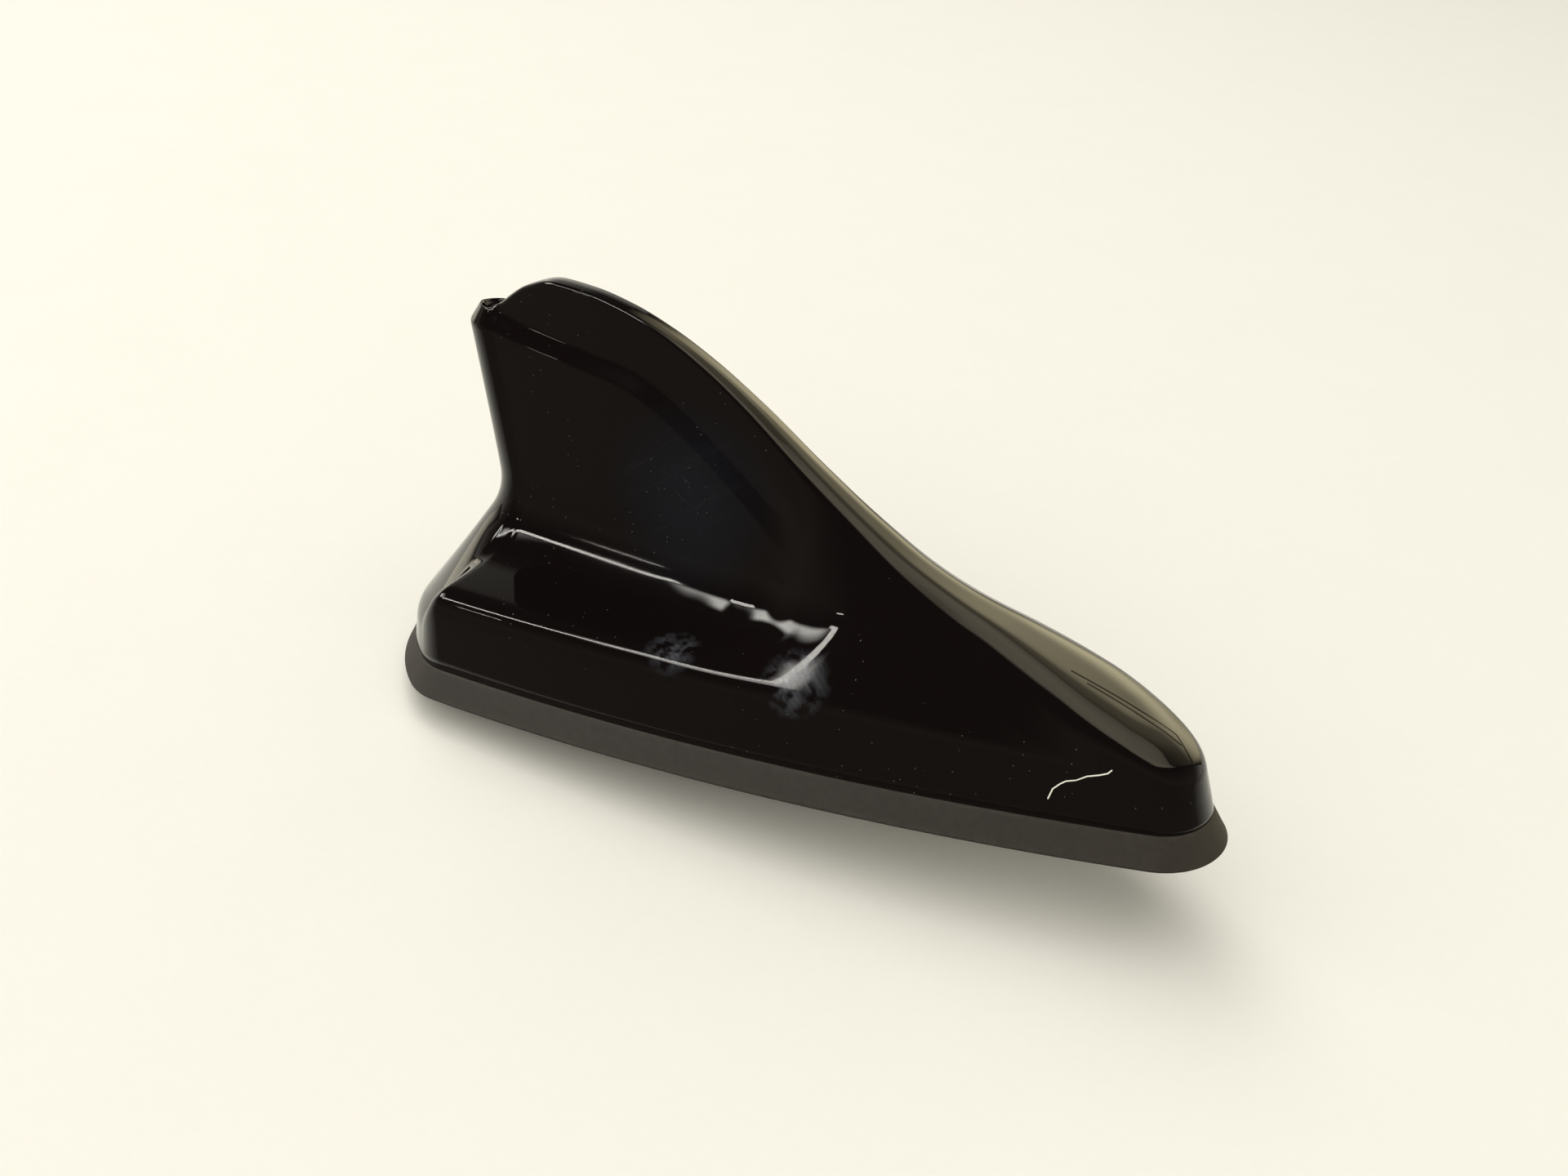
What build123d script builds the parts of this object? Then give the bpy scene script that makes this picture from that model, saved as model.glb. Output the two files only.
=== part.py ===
from build123d import *
import math
import os

os.makedirs("parts", exist_ok=True)

# Fin-shaped roof antenna, in millimetres. X runs forward to the nose, Y to the left, Z up.
# The origin is the middle of the gasket's underside, so the roof skin lies at Z = 0.

# Plan outline of the gasket's foot: four kinds of arc that meet in tangents
LENGTH = 163.0
HALF_WIDTH = 36.2
CORNER_RADIUS = 13.0
NOSE_RADIUS = 12.0
SIDE_RADIUS = 455.0
REAR_DEPTH = 13.81

# Gasket and cover heights
SEAM_Z = 5.2
SEAM_INSET = 2.7
WALL = 2.4
FIN_ROOF = 1.6
SKIRT_DRAFT = 1.0
SHOULDER_RADIUS = 5.0
FOOT_RADIUS = 14.0
CORNER_STEPS = 3
EDGE_RADIUS = 2.0
PANEL_STEP = 2.6
BLADE_FLARE = 0.5
RAMP_HEIGHT = 3.0

# The fin leans back with height
LEAN = 0.214
LEAN_START = 29.0
LEAN_SOFT = 6.0

# Rear of the cover: a steep back instead of the side's shelf
REAR_SHOULDER = 9.5
REAR_FOOT = 28.0
REAR_WALL = 9.0
FIN_REAR_X = -58.0
FIN_SIDE_X = -55.0
TIP_ROUND = 0.7

# Front of the cover: the sections are held back here, so that they fan out round the nose
SWEEP_START_X = 20.0
SIDE_END_X = 62.0
NOSE_TOP_X = 65.3
NOSE_EDGE_RADIUS = 6.0

# Lines of the cover: (station along the fin's foot, value)
SPINE_Z = [(-58, 62.4), (-54, 65.3), (-48, 68.7), (-41, 70.5), (-34, 70.1), (-26, 68.6), (-18, 65.8), (-10, 61.6),
           (-2, 56.1), (8, 48.0), (18, 40.6), (26, 35.6), (34, 32.1), (44, 28.9), (54, 25.3), (60, 22.9), (66, 20.3)]
EDGE_HALF = [(-58, 2.2), (-20, 2.2), (-8, 2.5), (3, 3.1), (14, 3.6), (23, 4.2), (31, 4.9), (38, 6.0), (44.8, 7.6),
             (50, 9.1), (54, 10.4), (58, 11.2), (62, 11.6), (65.3, 11.2)]
EDGE_DROP = [(-58, 0.1), (-8, 0.3), (10, 0.8), (30, 1.4), (45, 1.7), (54, 1.8), (62, 1.9), (65.3, 1.6)]
SHOULDER_Z = [(-58, 20.0), (-15, 19.6), (0, 18.6), (15, 17.6), (30, 17.0), (45, 16.0), (54, 14.4), (62, 11.0),
              (65.3, 8.8)]
FOOT_HALF = [(-58, 7.0), (-25, 7.0), (-10, 7.6), (0, 8.6), (10, 9.9), (20, 10.4), (30, 10.6), (40, 11.2), (50, 11.8)]
FOOT_Z = [(-58, 21.3), (-25, 21.3), (-12, 22.4), (0, 25.2), (10, 28.0), (20, 28.0), (30, 26.0), (40, 23.3), (50, 20.6)]
PANEL_Z = [(-58, 60.6), (-49, 58.6), (-38, 57.0), (-26, 55.0), (-18, 51.0), (-11.6, 46.3), (-3.3, 39.4),
           (4.7, 33.5), (12, 30.5)]

# Base plate, seals and stem
PLATE_BOTTOM = 2.0
PLATE_INSET = 3.6
GASKET_GAP = 0.1
FLANGE_TOP = 7.2
FLANGE_INSET = 8.0
GROOVE_INSET = 5.6
GROOVE_WIDTH = 1.8
GROOVE_DEPTH = 1.0
STEM_LENGTH = 40.0
STEM_WIDTH = 18.0
STEM_BOTTOM = -9.0
STEM_SEAL_WIDTH = 3.5
POCKET_REAR = -15.8
POCKET_FRONT = 5.6
POCKET_HALF = 6.6
BOLT_X = 11.8
BOLT_FACE = -3.0
BOLT_DIAMETER = 5.0
BOLT_HEAD = 8.0

# Main board and what stands on it
BOARD_BOTTOM = 8.2
BOARD_THICK = 1.6
BOARD_TOP = BOARD_BOTTOM + BOARD_THICK
JACK_PITCH = 6.9
JACK_FIRST_X = -12.2
PATCH_SIDE = 18.0
PATCH_X = 14.0
FIN_BOARD_THICK = 1.6
CHOKE_X = -2.0

# Screws: bosses at (place on the outline, inset), posts at (X, Y)
BOSS_RADIUS = 3.1
BOSS_PLACES = [(0.8, 11.0), (2.37, 11.0)]
NOSE_BOSS_INSET = 18.5
BOARD_POSTS = [(-56.0, 15.0), (-56.0, -15.0), (-22.0, 13.4), (-22.0, -13.4), (30.0, 0.0)]


# Plan outline

def outline_arcs():
    """Centres, radii and normal angles of the arcs: rear, corner, side and nose, for the +Y half."""
    corner_y = HALF_WIDTH - CORNER_RADIUS
    rear_radius = CORNER_RADIUS + math.hypot(REAR_DEPTH, corner_y)
    rear_x = -LENGTH / 2 + rear_radius
    corner_x = rear_x - REAR_DEPTH
    nose_x = LENGTH / 2 - NOSE_RADIUS
    span_x = nose_x - corner_x
    span = math.hypot(span_x, corner_y)
    to_corner = SIDE_RADIUS - CORNER_RADIUS
    to_nose = SIDE_RADIUS - NOSE_RADIUS
    along = (to_corner ** 2 - to_nose ** 2 + span ** 2) / (2 * span)
    away = math.sqrt(to_corner ** 2 - along ** 2)
    side_x = corner_x + along * span_x / span - away * corner_y / span
    side_y = corner_y - along * corner_y / span - away * span_x / span
    rear_turn = math.atan2(corner_y, corner_x - rear_x)
    side_turn = math.atan2(corner_y - side_y, corner_x - side_x)
    nose_turn = math.atan2(-side_y, nose_x - side_x)
    return [
        (rear_x, 0.0, rear_radius, math.pi, rear_turn),
        (corner_x, corner_y, CORNER_RADIUS, rear_turn, side_turn),
        (side_x, side_y, SIDE_RADIUS, side_turn, nose_turn),
        (nose_x, 0.0, NOSE_RADIUS, nose_turn, 0.0),
    ]


ARCS = outline_arcs()


def outline_point(place, inset):
    """A place from 0 (rear middle) to 4 (nose tip): the whole part picks the arc, the rest runs along it."""
    index = min(int(place), 3)
    cx, cy, radius, start, end = ARCS[index]
    angle = start + (place - index) * (end - start)
    return cx + (radius - inset) * math.cos(angle), cy + (radius - inset) * math.sin(angle)


COVER_BOSSES = [outline_point(4, NOSE_BOSS_INSET)]
for boss_place, boss_inset in BOSS_PLACES:
    boss_x, boss_y = outline_point(boss_place, boss_inset)
    COVER_BOSSES += [(boss_x, boss_y), (boss_x, -boss_y)]


def outline_face(inset, z=0.0):
    """The outline moved inwards by inset, as a flat face at height z."""
    rear, corner, side, nose = ARCS
    deg = math.degrees
    edges = [CenterArc((rear[0], 0), rear[2] - inset, deg(rear[4]), 360 - 2 * deg(rear[4]))]
    for sign in (1, -1):
        for cx, cy, radius, start, end in (corner, side):
            first = end if sign > 0 else -start
            edges.append(CenterArc((cx, sign * cy), radius - inset, deg(first), deg(start - end)))
    edges.append(CenterArc((nose[0], 0), nose[2] - inset, -deg(nose[3]), 2 * deg(nose[3])))
    return Pos(0, 0, z) * make_face(edges)


def slab(inset, bottom, top):
    """The outline as a plate between two heights."""
    return extrude(outline_face(inset, bottom), top - bottom)


# Lines of the cover

def along(stations, x):
    """Value at x on a smooth curve through the stations that never overshoots them."""
    xs = [float(s[0]) for s in stations]
    ys = [float(s[1]) for s in stations]
    x = min(max(x, xs[0]), xs[-1])
    count = len(xs)
    steps = [xs[i + 1] - xs[i] for i in range(count - 1)]
    rises = [(ys[i + 1] - ys[i]) / steps[i] for i in range(count - 1)]
    slopes = [rises[0]] + [0.0] * (count - 2) + [rises[-1]]
    for i in range(1, count - 1):
        if rises[i - 1] * rises[i] > 0:
            w1 = 2 * steps[i] + steps[i - 1]
            w2 = steps[i] + 2 * steps[i - 1]
            slopes[i] = (w1 + w2) / (w1 / rises[i - 1] + w2 / rises[i])
    i = 0
    while i < count - 2 and x > xs[i + 1]:
        i += 1
    t = (x - xs[i]) / steps[i]
    value = (1 + 2 * t) * (1 - t) ** 2 * ys[i] + t * (1 - t) ** 2 * steps[i] * slopes[i]
    return value + t * t * (3 - 2 * t) * ys[i + 1] + t * t * (t - 1) * steps[i] * slopes[i + 1]


def ease(start, end, x):
    """Smooth step from 0 at start to 1 at end."""
    t = min(max((x - start) / (end - start), 0.0), 1.0)
    return t * t * (3 - 2 * t)


def lean(z):
    """How far the fin leans back at height z."""
    d = z - LEAN_START
    return LEAN * 0.5 * (d + math.sqrt(d * d + LEAN_SOFT ** 2))


def mix(a, b, t):
    return a + (b - a) * t


def anchor_x(place):
    """Station on the middle plane that the section at this place of the outline runs up to."""
    if place <= 2:
        return mix(FIN_REAR_X, FIN_SIDE_X, place / 2)
    if place <= 3:
        here, first, last = [outline_point(p, SEAM_INSET)[0] for p in (place, 2, 3)]
        sweep = max((here - SWEEP_START_X) / (last - SWEEP_START_X), 0.0)
        shift = (FIN_SIDE_X - first) * (1 - ease(first, 0, here))
        return here + shift - (last - SIDE_END_X) * sweep ** 2
    t = place - 3
    return mix(SIDE_END_X, NOSE_TOP_X, 2 * t - t * t)


def section_lines(place):
    """The named lines of the cover at one place: knots (distance from the anchor, height)."""
    x = anchor_x(place)
    ox, oy = outline_point(place, SEAM_INSET)
    run = math.hypot(ox - x, oy)
    forward = (ox - x) / run
    top = along(SPINE_Z, x)
    slope = along(SPINE_Z, x + 0.5) - along(SPINE_Z, x - 0.5)
    stretch = math.sqrt(1 + slope * slope) if x > -40 else 1.0
    fall = slope * forward * ease(0, 30, x)
    back = 1 - ease(0.3, 2.0, place)
    fin = 1 - ease(-4, 13, x)
    front = ease(36, 58, x)
    edge = along(EDGE_HALF, x) + TIP_ROUND * back
    edge_z = top + fall * edge - along(EDGE_DROP, x)
    shoulder = run - SKIRT_DRAFT
    shoulder_z = mix(along(SHOULDER_Z, x), REAR_SHOULDER, back)
    foot = mix(along(FOOT_HALF, x), mix(edge, shoulder, 0.93), front)
    foot_z = mix(mix(along(FOOT_Z, x), REAR_FOOT, back), mix(edge_z, shoulder_z, 0.93), front)
    panel_z = along(PANEL_Z, x)
    blade_share = mix(0.4, 0.75, front)
    panel_share = mix(0.65, 0.88, front)
    blade_foot = mix(mix(edge, foot, blade_share), edge + BLADE_FLARE, fin)
    blade_foot_z = mix(mix(edge_z, foot_z, blade_share), panel_z + RAMP_HEIGHT * stretch, fin)
    panel = mix(mix(edge, foot, panel_share), edge + BLADE_FLARE + PANEL_STEP, fin)
    panel_top = mix(mix(edge_z, foot_z, panel_share), panel_z, fin)
    return {
        "x": x, "run": run, "dir": (forward, oy / run), "fin": fin, "top": top,
        "knots": [(run, SEAM_Z), (shoulder, shoulder_z), (foot, foot_z), (panel, panel_top),
                  (blade_foot, blade_foot_z), (edge, edge_z), (0.5 * edge, top + 0.5 * fall * edge), (0.0, top)],
    }


def rounded(knots, radii):
    """A run of straight lines whose corners with a radius are broken into short lines on a curve."""
    def unit(a, b):
        length = max(math.hypot(b[0] - a[0], b[1] - a[1]), 1e-9)
        return (b[0] - a[0]) / length, (b[1] - a[1]) / length, length

    points = [knots[0]]
    for before, knot, after, radius in zip(knots, knots[1:], knots[2:], radii):
        if radius == 0:
            points.append(knot)
            continue
        ux, uy, come = unit(before, knot)
        vx, vy, leave = unit(knot, after)
        turn = math.acos(min(max(ux * vx + uy * vy, -1.0), 1.0))
        back = max(radius * math.tan(turn / 2), 0.15 * min(come, leave))
        back = min(back, 0.44 * come, 0.44 * leave)
        for i in range(CORNER_STEPS + 1):
            t = i / CORNER_STEPS
            r = knot[0] - ux * back * (1 - t) ** 2 + vx * back * t * t
            z = knot[1] - uy * back * (1 - t) ** 2 + vy * back * t * t
            points.append((r, z))
    return points + [knots[-1]]


def lift(x, direction, points):
    """Carry a section's flat points into space and lean them back."""
    dx, dy = direction
    return [Vector(x + r * dx - lean(z), r * dy, z) for r, z in points]


def outer_section(place):
    """One section of the cover's outside, as points in space."""
    s = section_lines(place)
    edge_radius = EDGE_RADIUS + NOSE_EDGE_RADIUS * ease(5, 64, s["x"])
    points = rounded(s["knots"], [SHOULDER_RADIUS, FOOT_RADIUS, 0, 0, edge_radius, 0])
    return lift(s["x"], s["dir"], points)


def cavity_section(place):
    """One section of the hollow inside the cover. Behind the fin it ends in an upright wall."""
    side = section_lines(max(place, 2))
    seam, shoulder, foot, panel, blade_foot, edge = side["knots"][:6]
    fin = side["fin"]
    x = anchor_x(place)
    ox, oy = outline_point(place, SEAM_INSET)
    length = math.hypot(ox - x, oy)
    run = length - WALL - REAR_WALL * (1 - ease(0.4, 2, place))
    wall_z = max(shoulder[1] - WALL, FLANGE_TOP + 0.8)
    ceiling = max(mix(edge[1] - WALL, panel[1] - FIN_ROOF, fin), wall_z + 1.6)
    foot_z = min(max(foot[1] - WALL, wall_z + 0.8), ceiling - 0.4)
    foot_r = min(foot[0] - WALL, 0.92 * (run - SKIRT_DRAFT))
    crest = min(mix(edge[0], panel[0], fin) - WALL, 0.92 * foot_r)
    points = [(run, FLANGE_TOP), (run - SKIRT_DRAFT, wall_z), (foot_r, foot_z), (crest, ceiling), (0.0, ceiling)]
    return lift(x, ((ox - x) / length, oy / length), points)


def fitted(row, step, flat_start, flat_end):
    """Control points of a fifth-degree curve that keeps its ends, its end slopes and the points at its thirds.
    The row's second point and its last but one lie a small share of the way, step, in from the ends."""
    first, near_first, third, two_thirds, near_last, last = row
    start_slope = (near_first - first) * (1 / step)
    end_slope = (last - near_last) * (1 / step)
    if flat_start:
        start_slope = Vector(0, start_slope.Y, 0)
    if flat_end:
        end_slope = Vector(0, end_slope.Y, 0)
    second = first + start_slope * 0.2
    fifth = last - end_slope * 0.2
    a = third * 243 - first * 32 - second * 80 - fifth * 10 - last
    b = two_thirds * 243 - first - second * 10 - fifth * 80 - last * 32
    return [first, second, (a * 2 - b) * (1 / 120), (b * 2 - a) * (1 / 120), fifth, last]


def closed_body(section, places):
    """A solid with the same skin of smooth strips on both sides of the middle plane, and a flat bottom."""
    step = 0.002
    faces = []
    for start, end in zip(places, places[1:]):
        sections = [section(mix(start, end, share)) for share in (0, step, 1 / 3, 2 / 3, 1 - step, 1)]
        rows = [fitted(row, step, start == places[0], end == places[-1]) for row in zip(*sections)]
        for lower, upper in zip(rows, rows[1:]):
            patch = Face.make_bezier_surface([lower, upper])
            faces += [patch, patch.mirror(Plane.XZ)]
    floor = section(0)[0].Z + 0.001
    low = [edge for face in faces for edge in face.edges() if edge.bounding_box().max.Z < floor]
    return Solid(Shell(faces + [Face(Wire(low))]))


def ring(outer, inner, bottom, top):
    """A band between two insets of the outline."""
    return slab(outer, bottom, top) - slab(inner, bottom - 0.01, top + 0.01)


def rod(x, y, radius, bottom, top):
    """An upright cylinder."""
    return Pos(x, y, (bottom + top) / 2) * Cylinder(radius, top - bottom)


def block(x, y, bottom, length, width, height):
    """A box that stands on the height bottom, centred at (x, y)."""
    return Pos(x, y, bottom + height / 2) * Box(length, width, height)


def obround(length, width, bottom, top):
    """An upright slot-shaped prism centred on the origin."""
    return Pos(0, 0, bottom) * extrude(SlotOverall(length, width), top - bottom)


# Cover

outer = closed_body(outer_section, [0, 1, 2, 2.25, 2.5, 2.75, 3, 4])
cavity = closed_body(cavity_section, [0, 1, 2, 2.5, 3, 4])
hollow = cavity + slab(FLANGE_INSET, SEAM_Z - 0.5, FLANGE_TOP + 0.2)
for bx, by in COVER_BOSSES:
    hollow = hollow - rod(bx, by, BOSS_RADIUS, SEAM_Z - 1, 40)
cover = outer - hollow
for bx, by in COVER_BOSSES:
    cover = cover - rod(bx, by, 1.05, SEAM_Z - 1, SEAM_Z + 6.5)

# Gasket: a flared band with a pad under the plate and a hole for the stem

band = loft([outline_face(0.0, 0.0), outline_face(SEAM_INSET, SEAM_Z)])
band = band - slab(PLATE_INSET - GASKET_GAP, PLATE_BOTTOM, SEAM_Z + 0.5)
relief = slab(9.0, -0.5, 0.7)
land = obround(STEM_LENGTH + 14, STEM_WIDTH + 14, -0.6, 0.8)
gasket = band - (relief - land)
gasket = gasket - obround(STEM_LENGTH + 2 * STEM_SEAL_WIDTH + 0.4, STEM_WIDTH + 2 * STEM_SEAL_WIDTH + 0.4, -1, 4)
stem_seal = obround(STEM_LENGTH + 2 * STEM_SEAL_WIDTH, STEM_WIDTH + 2 * STEM_SEAL_WIDTH, 0.0, PLATE_BOTTOM)
stem_seal = stem_seal - obround(STEM_LENGTH + 0.2, STEM_WIDTH + 0.2, -1, 4)
stem_seal = chamfer(stem_seal.faces().sort_by(Axis.Z)[0].outer_wire().edges(), 0.5)

# Base plate with the stem that goes through the roof

plate = slab(PLATE_INSET, PLATE_BOTTOM, SEAM_Z)
groove_end = GROOVE_INSET + GROOVE_WIDTH
plate = plate - ring(GROOVE_INSET, groove_end, SEAM_Z - GROOVE_DEPTH, SEAM_Z + 0.5)
stem = obround(STEM_LENGTH, STEM_WIDTH, STEM_BOTTOM, PLATE_BOTTOM + 0.5)
stem = chamfer(stem.faces().sort_by(Axis.Z)[0].edges(), 0.8)
stem = stem - block(BOLT_X + 3.5, 0, STEM_BOTTOM - 1, 17.0, STEM_WIDTH + 2, BOLT_FACE - STEM_BOTTOM + 1)
plate = plate + stem
pocket_x = (POCKET_REAR + POCKET_FRONT) / 2
pocket_length = POCKET_FRONT - POCKET_REAR
plate = plate - block(pocket_x, 0, STEM_BOTTOM - 1, pocket_length, 2 * POCKET_HALF, 20)
for bx, by in BOARD_POSTS:
    plate = plate + rod(bx, by, 2.6, SEAM_Z - 0.5, BOARD_BOTTOM)
for bx, by in BOARD_POSTS:
    plate = plate - rod(bx, by, 1.0, BOARD_BOTTOM - 5.0, BOARD_BOTTOM + 1)
for bx, by in COVER_BOSSES:
    plate = plate - rod(bx, by, 1.5, PLATE_BOTTOM - 1, SEAM_Z + 1)
    plate = plate - rod(bx, by, 2.8, PLATE_BOTTOM - 1, PLATE_BOTTOM + 1.5)
plate = plate - rod(BOLT_X, 0, BOLT_DIAMETER / 2, BOLT_FACE - 1, 4.2)

cover_seal = ring(GROOVE_INSET + 0.05, groove_end - 0.05, SEAM_Z - GROOVE_DEPTH, SEAM_Z)

# Screws: a round head, a shank and a hex socket

def screw(radius, length, head_radius, head_height):
    """A pan-head screw along +Z: its head's underside is at Z = 0 and its shank goes up."""
    shank = Pos(0, 0, length / 2) * Cylinder(radius, length)
    head = Pos(0, 0, -head_height / 2) * Cylinder(head_radius, head_height)
    socket = Pos(0, 0, -head_height) * extrude(RegularPolygon(head_radius * 0.45, 6), head_height * 0.55)
    return head + shank - socket


cover_screw = screw(1.05, 7.0, 2.5, 1.4)
cover_screws = [Pos(x, y, PLATE_BOTTOM + 1.5) * cover_screw for x, y in COVER_BOSSES]
board_screw = Rot(180, 0, 0) * screw(1.0, 5.6, 2.0, 1.3)
board_screws = [Pos(x, y, BOARD_TOP) * board_screw for x, y in BOARD_POSTS]

# Roof clamp: a bolt and a spring-steel claw that spreads under the roof skin

claw = block(BOLT_X, 0, BOLT_FACE - 1.0, 9.0, 13.4, 1.0)
claw_ear = block(BOLT_X, 6.2, BOLT_FACE - 5.0, 8.0, 1.0, 5.0)
claw = claw + claw_ear + Pos(0, -12.4, 0) * claw_ear
claw_lip = block(BOLT_X, 6.8, BOLT_FACE - 5.0, 8.0, 1.2, 0.9)
claw = claw + claw_lip + Pos(0, -13.6, 0) * claw_lip
claw = claw - rod(BOLT_X, 0, BOLT_DIAMETER / 2 + 0.2, BOLT_FACE - 3, BOLT_FACE + 1)

bolt_head_top = BOLT_FACE - 1.0
bolt = rod(BOLT_X, 0, BOLT_DIAMETER / 2, bolt_head_top, 4.0)
bolt = bolt + rod(BOLT_X, 0, BOLT_HEAD / 2 + 0.6, bolt_head_top - 0.9, bolt_head_top)
bolt_hex = extrude(RegularPolygon(BOLT_HEAD / 2, 6, major_radius=False), 3.6)
bolt = bolt + Pos(BOLT_X, 0, bolt_head_top - 4.5) * bolt_hex
bolt = bolt - Pos(BOLT_X, 0, bolt_head_top - 4.6) * Cylinder(2.6, 1.2, align=(Align.CENTER, Align.CENTER, Align.MIN))

# Coaxial sockets in the stem

jack_x = [JACK_FIRST_X + i * JACK_PITCH for i in range(3)]
jack_housing = block(pocket_x, 0, STEM_BOTTOM + 0.4, pocket_length - 0.2, 2 * POCKET_HALF - 0.2, 11.0)
for x in jack_x:
    jack_housing = jack_housing - rod(x, 0, 3.0, STEM_BOTTOM - 1, -1.4)
    jack_housing = jack_housing - rod(x, 0, 2.2, -2, 6)
barrel = rod(0, 0, 2.1, -7.4, 4.4) - rod(0, 0, 1.6, -8, -2.0) - rod(0, 0, 0.6, -9, 6)
jack_barrels = [Pos(x, 0, 0) * barrel for x in jack_x]
pin = rod(0, 0, 0.5, -6.8, BOARD_TOP)
jack_pins = [Pos(x, 0, 0) * pin for x in jack_x]

# Main board

board = Pos(0, 0, BOARD_BOTTOM) * extrude(
    make_face(Polyline([(-62, -14), (-54, -19.4), (34, -8.4), (34, 8.4), (-54, 19.4), (-62, 14)], close=True)),
    BOARD_THICK)
board = fillet(board.edges().filter_by(Axis.Z), 1.5)
for x, y in BOARD_POSTS:
    board = board - rod(x, y, 1.15, BOARD_BOTTOM - 1, BOARD_TOP + 1)
for x in jack_x:
    board = board - rod(x, 0, 0.6, BOARD_BOTTOM - 1, BOARD_TOP + 1)

# Amplifier chips under two screening cans

can = block(0, 0, BOARD_TOP, 20.0, 9.0, 4.2)
can = fillet(can.edges().filter_by(Axis.Z), 0.8)
can = can - block(0, 0, BOARD_TOP - 0.5, 19.4, 8.4, 4.4)
shield_cans = [Pos(-40.0, s * 9.6, 0) * can for s in (1, -1)]
chip = block(0, 0, BOARD_TOP, 5.0, 5.0, 1.1)
chip = chamfer(chip.faces().sort_by(Axis.Z)[-1].edges(), 0.2)
amp_chips = [Pos(-38.0, s * 9.6, 0) * chip for s in (1, -1)]

# Navigation patch: a pad, a ceramic tile, a silver face and its feed pin

nav_pad = block(PATCH_X, 0, BOARD_TOP, PATCH_SIDE - 1.5, PATCH_SIDE - 1.5, 0.5)
nav_pad = nav_pad - rod(PATCH_X + 1.8, 0, 0.9, BOARD_TOP - 1, BOARD_TOP + 2)
nav_patch = block(PATCH_X, 0, BOARD_TOP + 0.5, PATCH_SIDE, PATCH_SIDE, 4.0)
nav_patch = chamfer(nav_patch.edges().filter_by(Axis.Z), 0.5)
nav_patch = nav_patch - rod(PATCH_X + 1.8, 0, 0.55, BOARD_TOP - 1, BOARD_TOP + 6)
nav_face = block(PATCH_X, 0, BOARD_TOP + 4.5, PATCH_SIDE - 3.6, PATCH_SIDE - 3.6, 0.15)
nav_face = chamfer(nav_face.edges().filter_by(Axis.Z).sort_by(Axis.X)[-1], 2.0)
nav_face = nav_face - rod(PATCH_X + 1.8, 0, 0.55, BOARD_TOP, BOARD_TOP + 6)
nav_pin = rod(PATCH_X + 1.8, 0, 0.45, BOARD_BOTTOM - 0.8, BOARD_TOP + 4.65)
nav_pin = nav_pin + rod(PATCH_X + 1.8, 0, 0.9, BOARD_TOP + 4.65, BOARD_TOP + 4.95)
board = board - rod(PATCH_X + 1.8, 0, 0.55, BOARD_BOTTOM - 1, BOARD_TOP + 1)

# Radio board that stands in the fin, with its plates, holders and clips

fin_outline = [(-54, BOARD_TOP), (-8, BOARD_TOP), (-8, 29), (-22, 44), (-32, 50.5), (-58, 53.5), (-60.5, 40), (-55, 24)]
fin_board = Plane.XZ * make_face(Polyline(fin_outline, close=True))
fin_board = extrude(fin_board, FIN_BOARD_THICK / 2, both=True)
fin_board = fillet(fin_board.edges().filter_by(Axis.Y), 1.0)
load_outline = [(-57, 41), (-30, 41), (-34, 49), (-56.4, 51.5)]
load_plate = Plane.XZ * make_face(Polyline(load_outline, close=True))
load_plate = Pos(0, FIN_BOARD_THICK / 2 + 0.3, 0) * extrude(load_plate, 0.3)
load_plate = fillet(load_plate.edges().filter_by(Axis.Y), 1.0)
load_plates = [load_plate, load_plate.mirror(Plane.XZ)]
holder_half = block(0, (3.5 + FIN_BOARD_THICK / 2) / 2, BOARD_TOP, 5.0, 3.5 - FIN_BOARD_THICK / 2, 7.0)
holder_half = chamfer(holder_half.faces().sort_by(Axis.Z)[-1].edges().sort_by(Axis.Y)[-1], 1.2)
holders = [Pos(x, 0, 0) * h for x in (-49.0, -14.0) for h in (holder_half, holder_half.mirror(Plane.XZ))]
clip = block(0, FIN_BOARD_THICK / 2 + 0.2, BOARD_TOP, 3.0, 0.4, 5.0)
clip = clip + block(0, FIN_BOARD_THICK / 2 + 1.4, BOARD_TOP, 3.0, 2.0, 0.4)
clips = [Pos(-30.0, 0, 0) * c for c in (clip, clip.mirror(Plane.XZ))]

# Choke in front of the radio board

choke_core = rod(CHOKE_X, 0, 1.5, BOARD_TOP, BOARD_TOP + 11.0)
choke_core = choke_core + rod(CHOKE_X, 0, 3.0, BOARD_TOP, BOARD_TOP + 1.2)
choke_core = choke_core + rod(CHOKE_X, 0, 3.0, BOARD_TOP + 9.8, BOARD_TOP + 11.0)
choke_winding = rod(CHOKE_X, 0, 2.6, BOARD_TOP + 1.2, BOARD_TOP + 9.8) - rod(CHOKE_X, 0, 1.5, 0, 40)

# Telephone radiators: bent sheet at the rear and at the front

rear_plate = block(-58.5, 0, BOARD_TOP, 0.5, 24.0, 5.6)
rear_tab = block(-56.8, 0, BOARD_TOP + 5.1, 3.9, 24.0, 0.5)
phone_rear = rear_plate + rear_tab
phone_rear = phone_rear - block(-58.5, 0, BOARD_TOP + 1.6, 2.0, 14.0, 2.2)
front_outline = [(26, BOARD_TOP), (33, BOARD_TOP), (33, 14), (42, 14), (42, 19), (30, 22.4), (26, 22.4)]
phone_front = Plane.XZ * make_face(Polyline(front_outline, close=True))
phone_front = Pos(0, 4.0, 0) * extrude(phone_front, 0.25, both=True)

# Files

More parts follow.
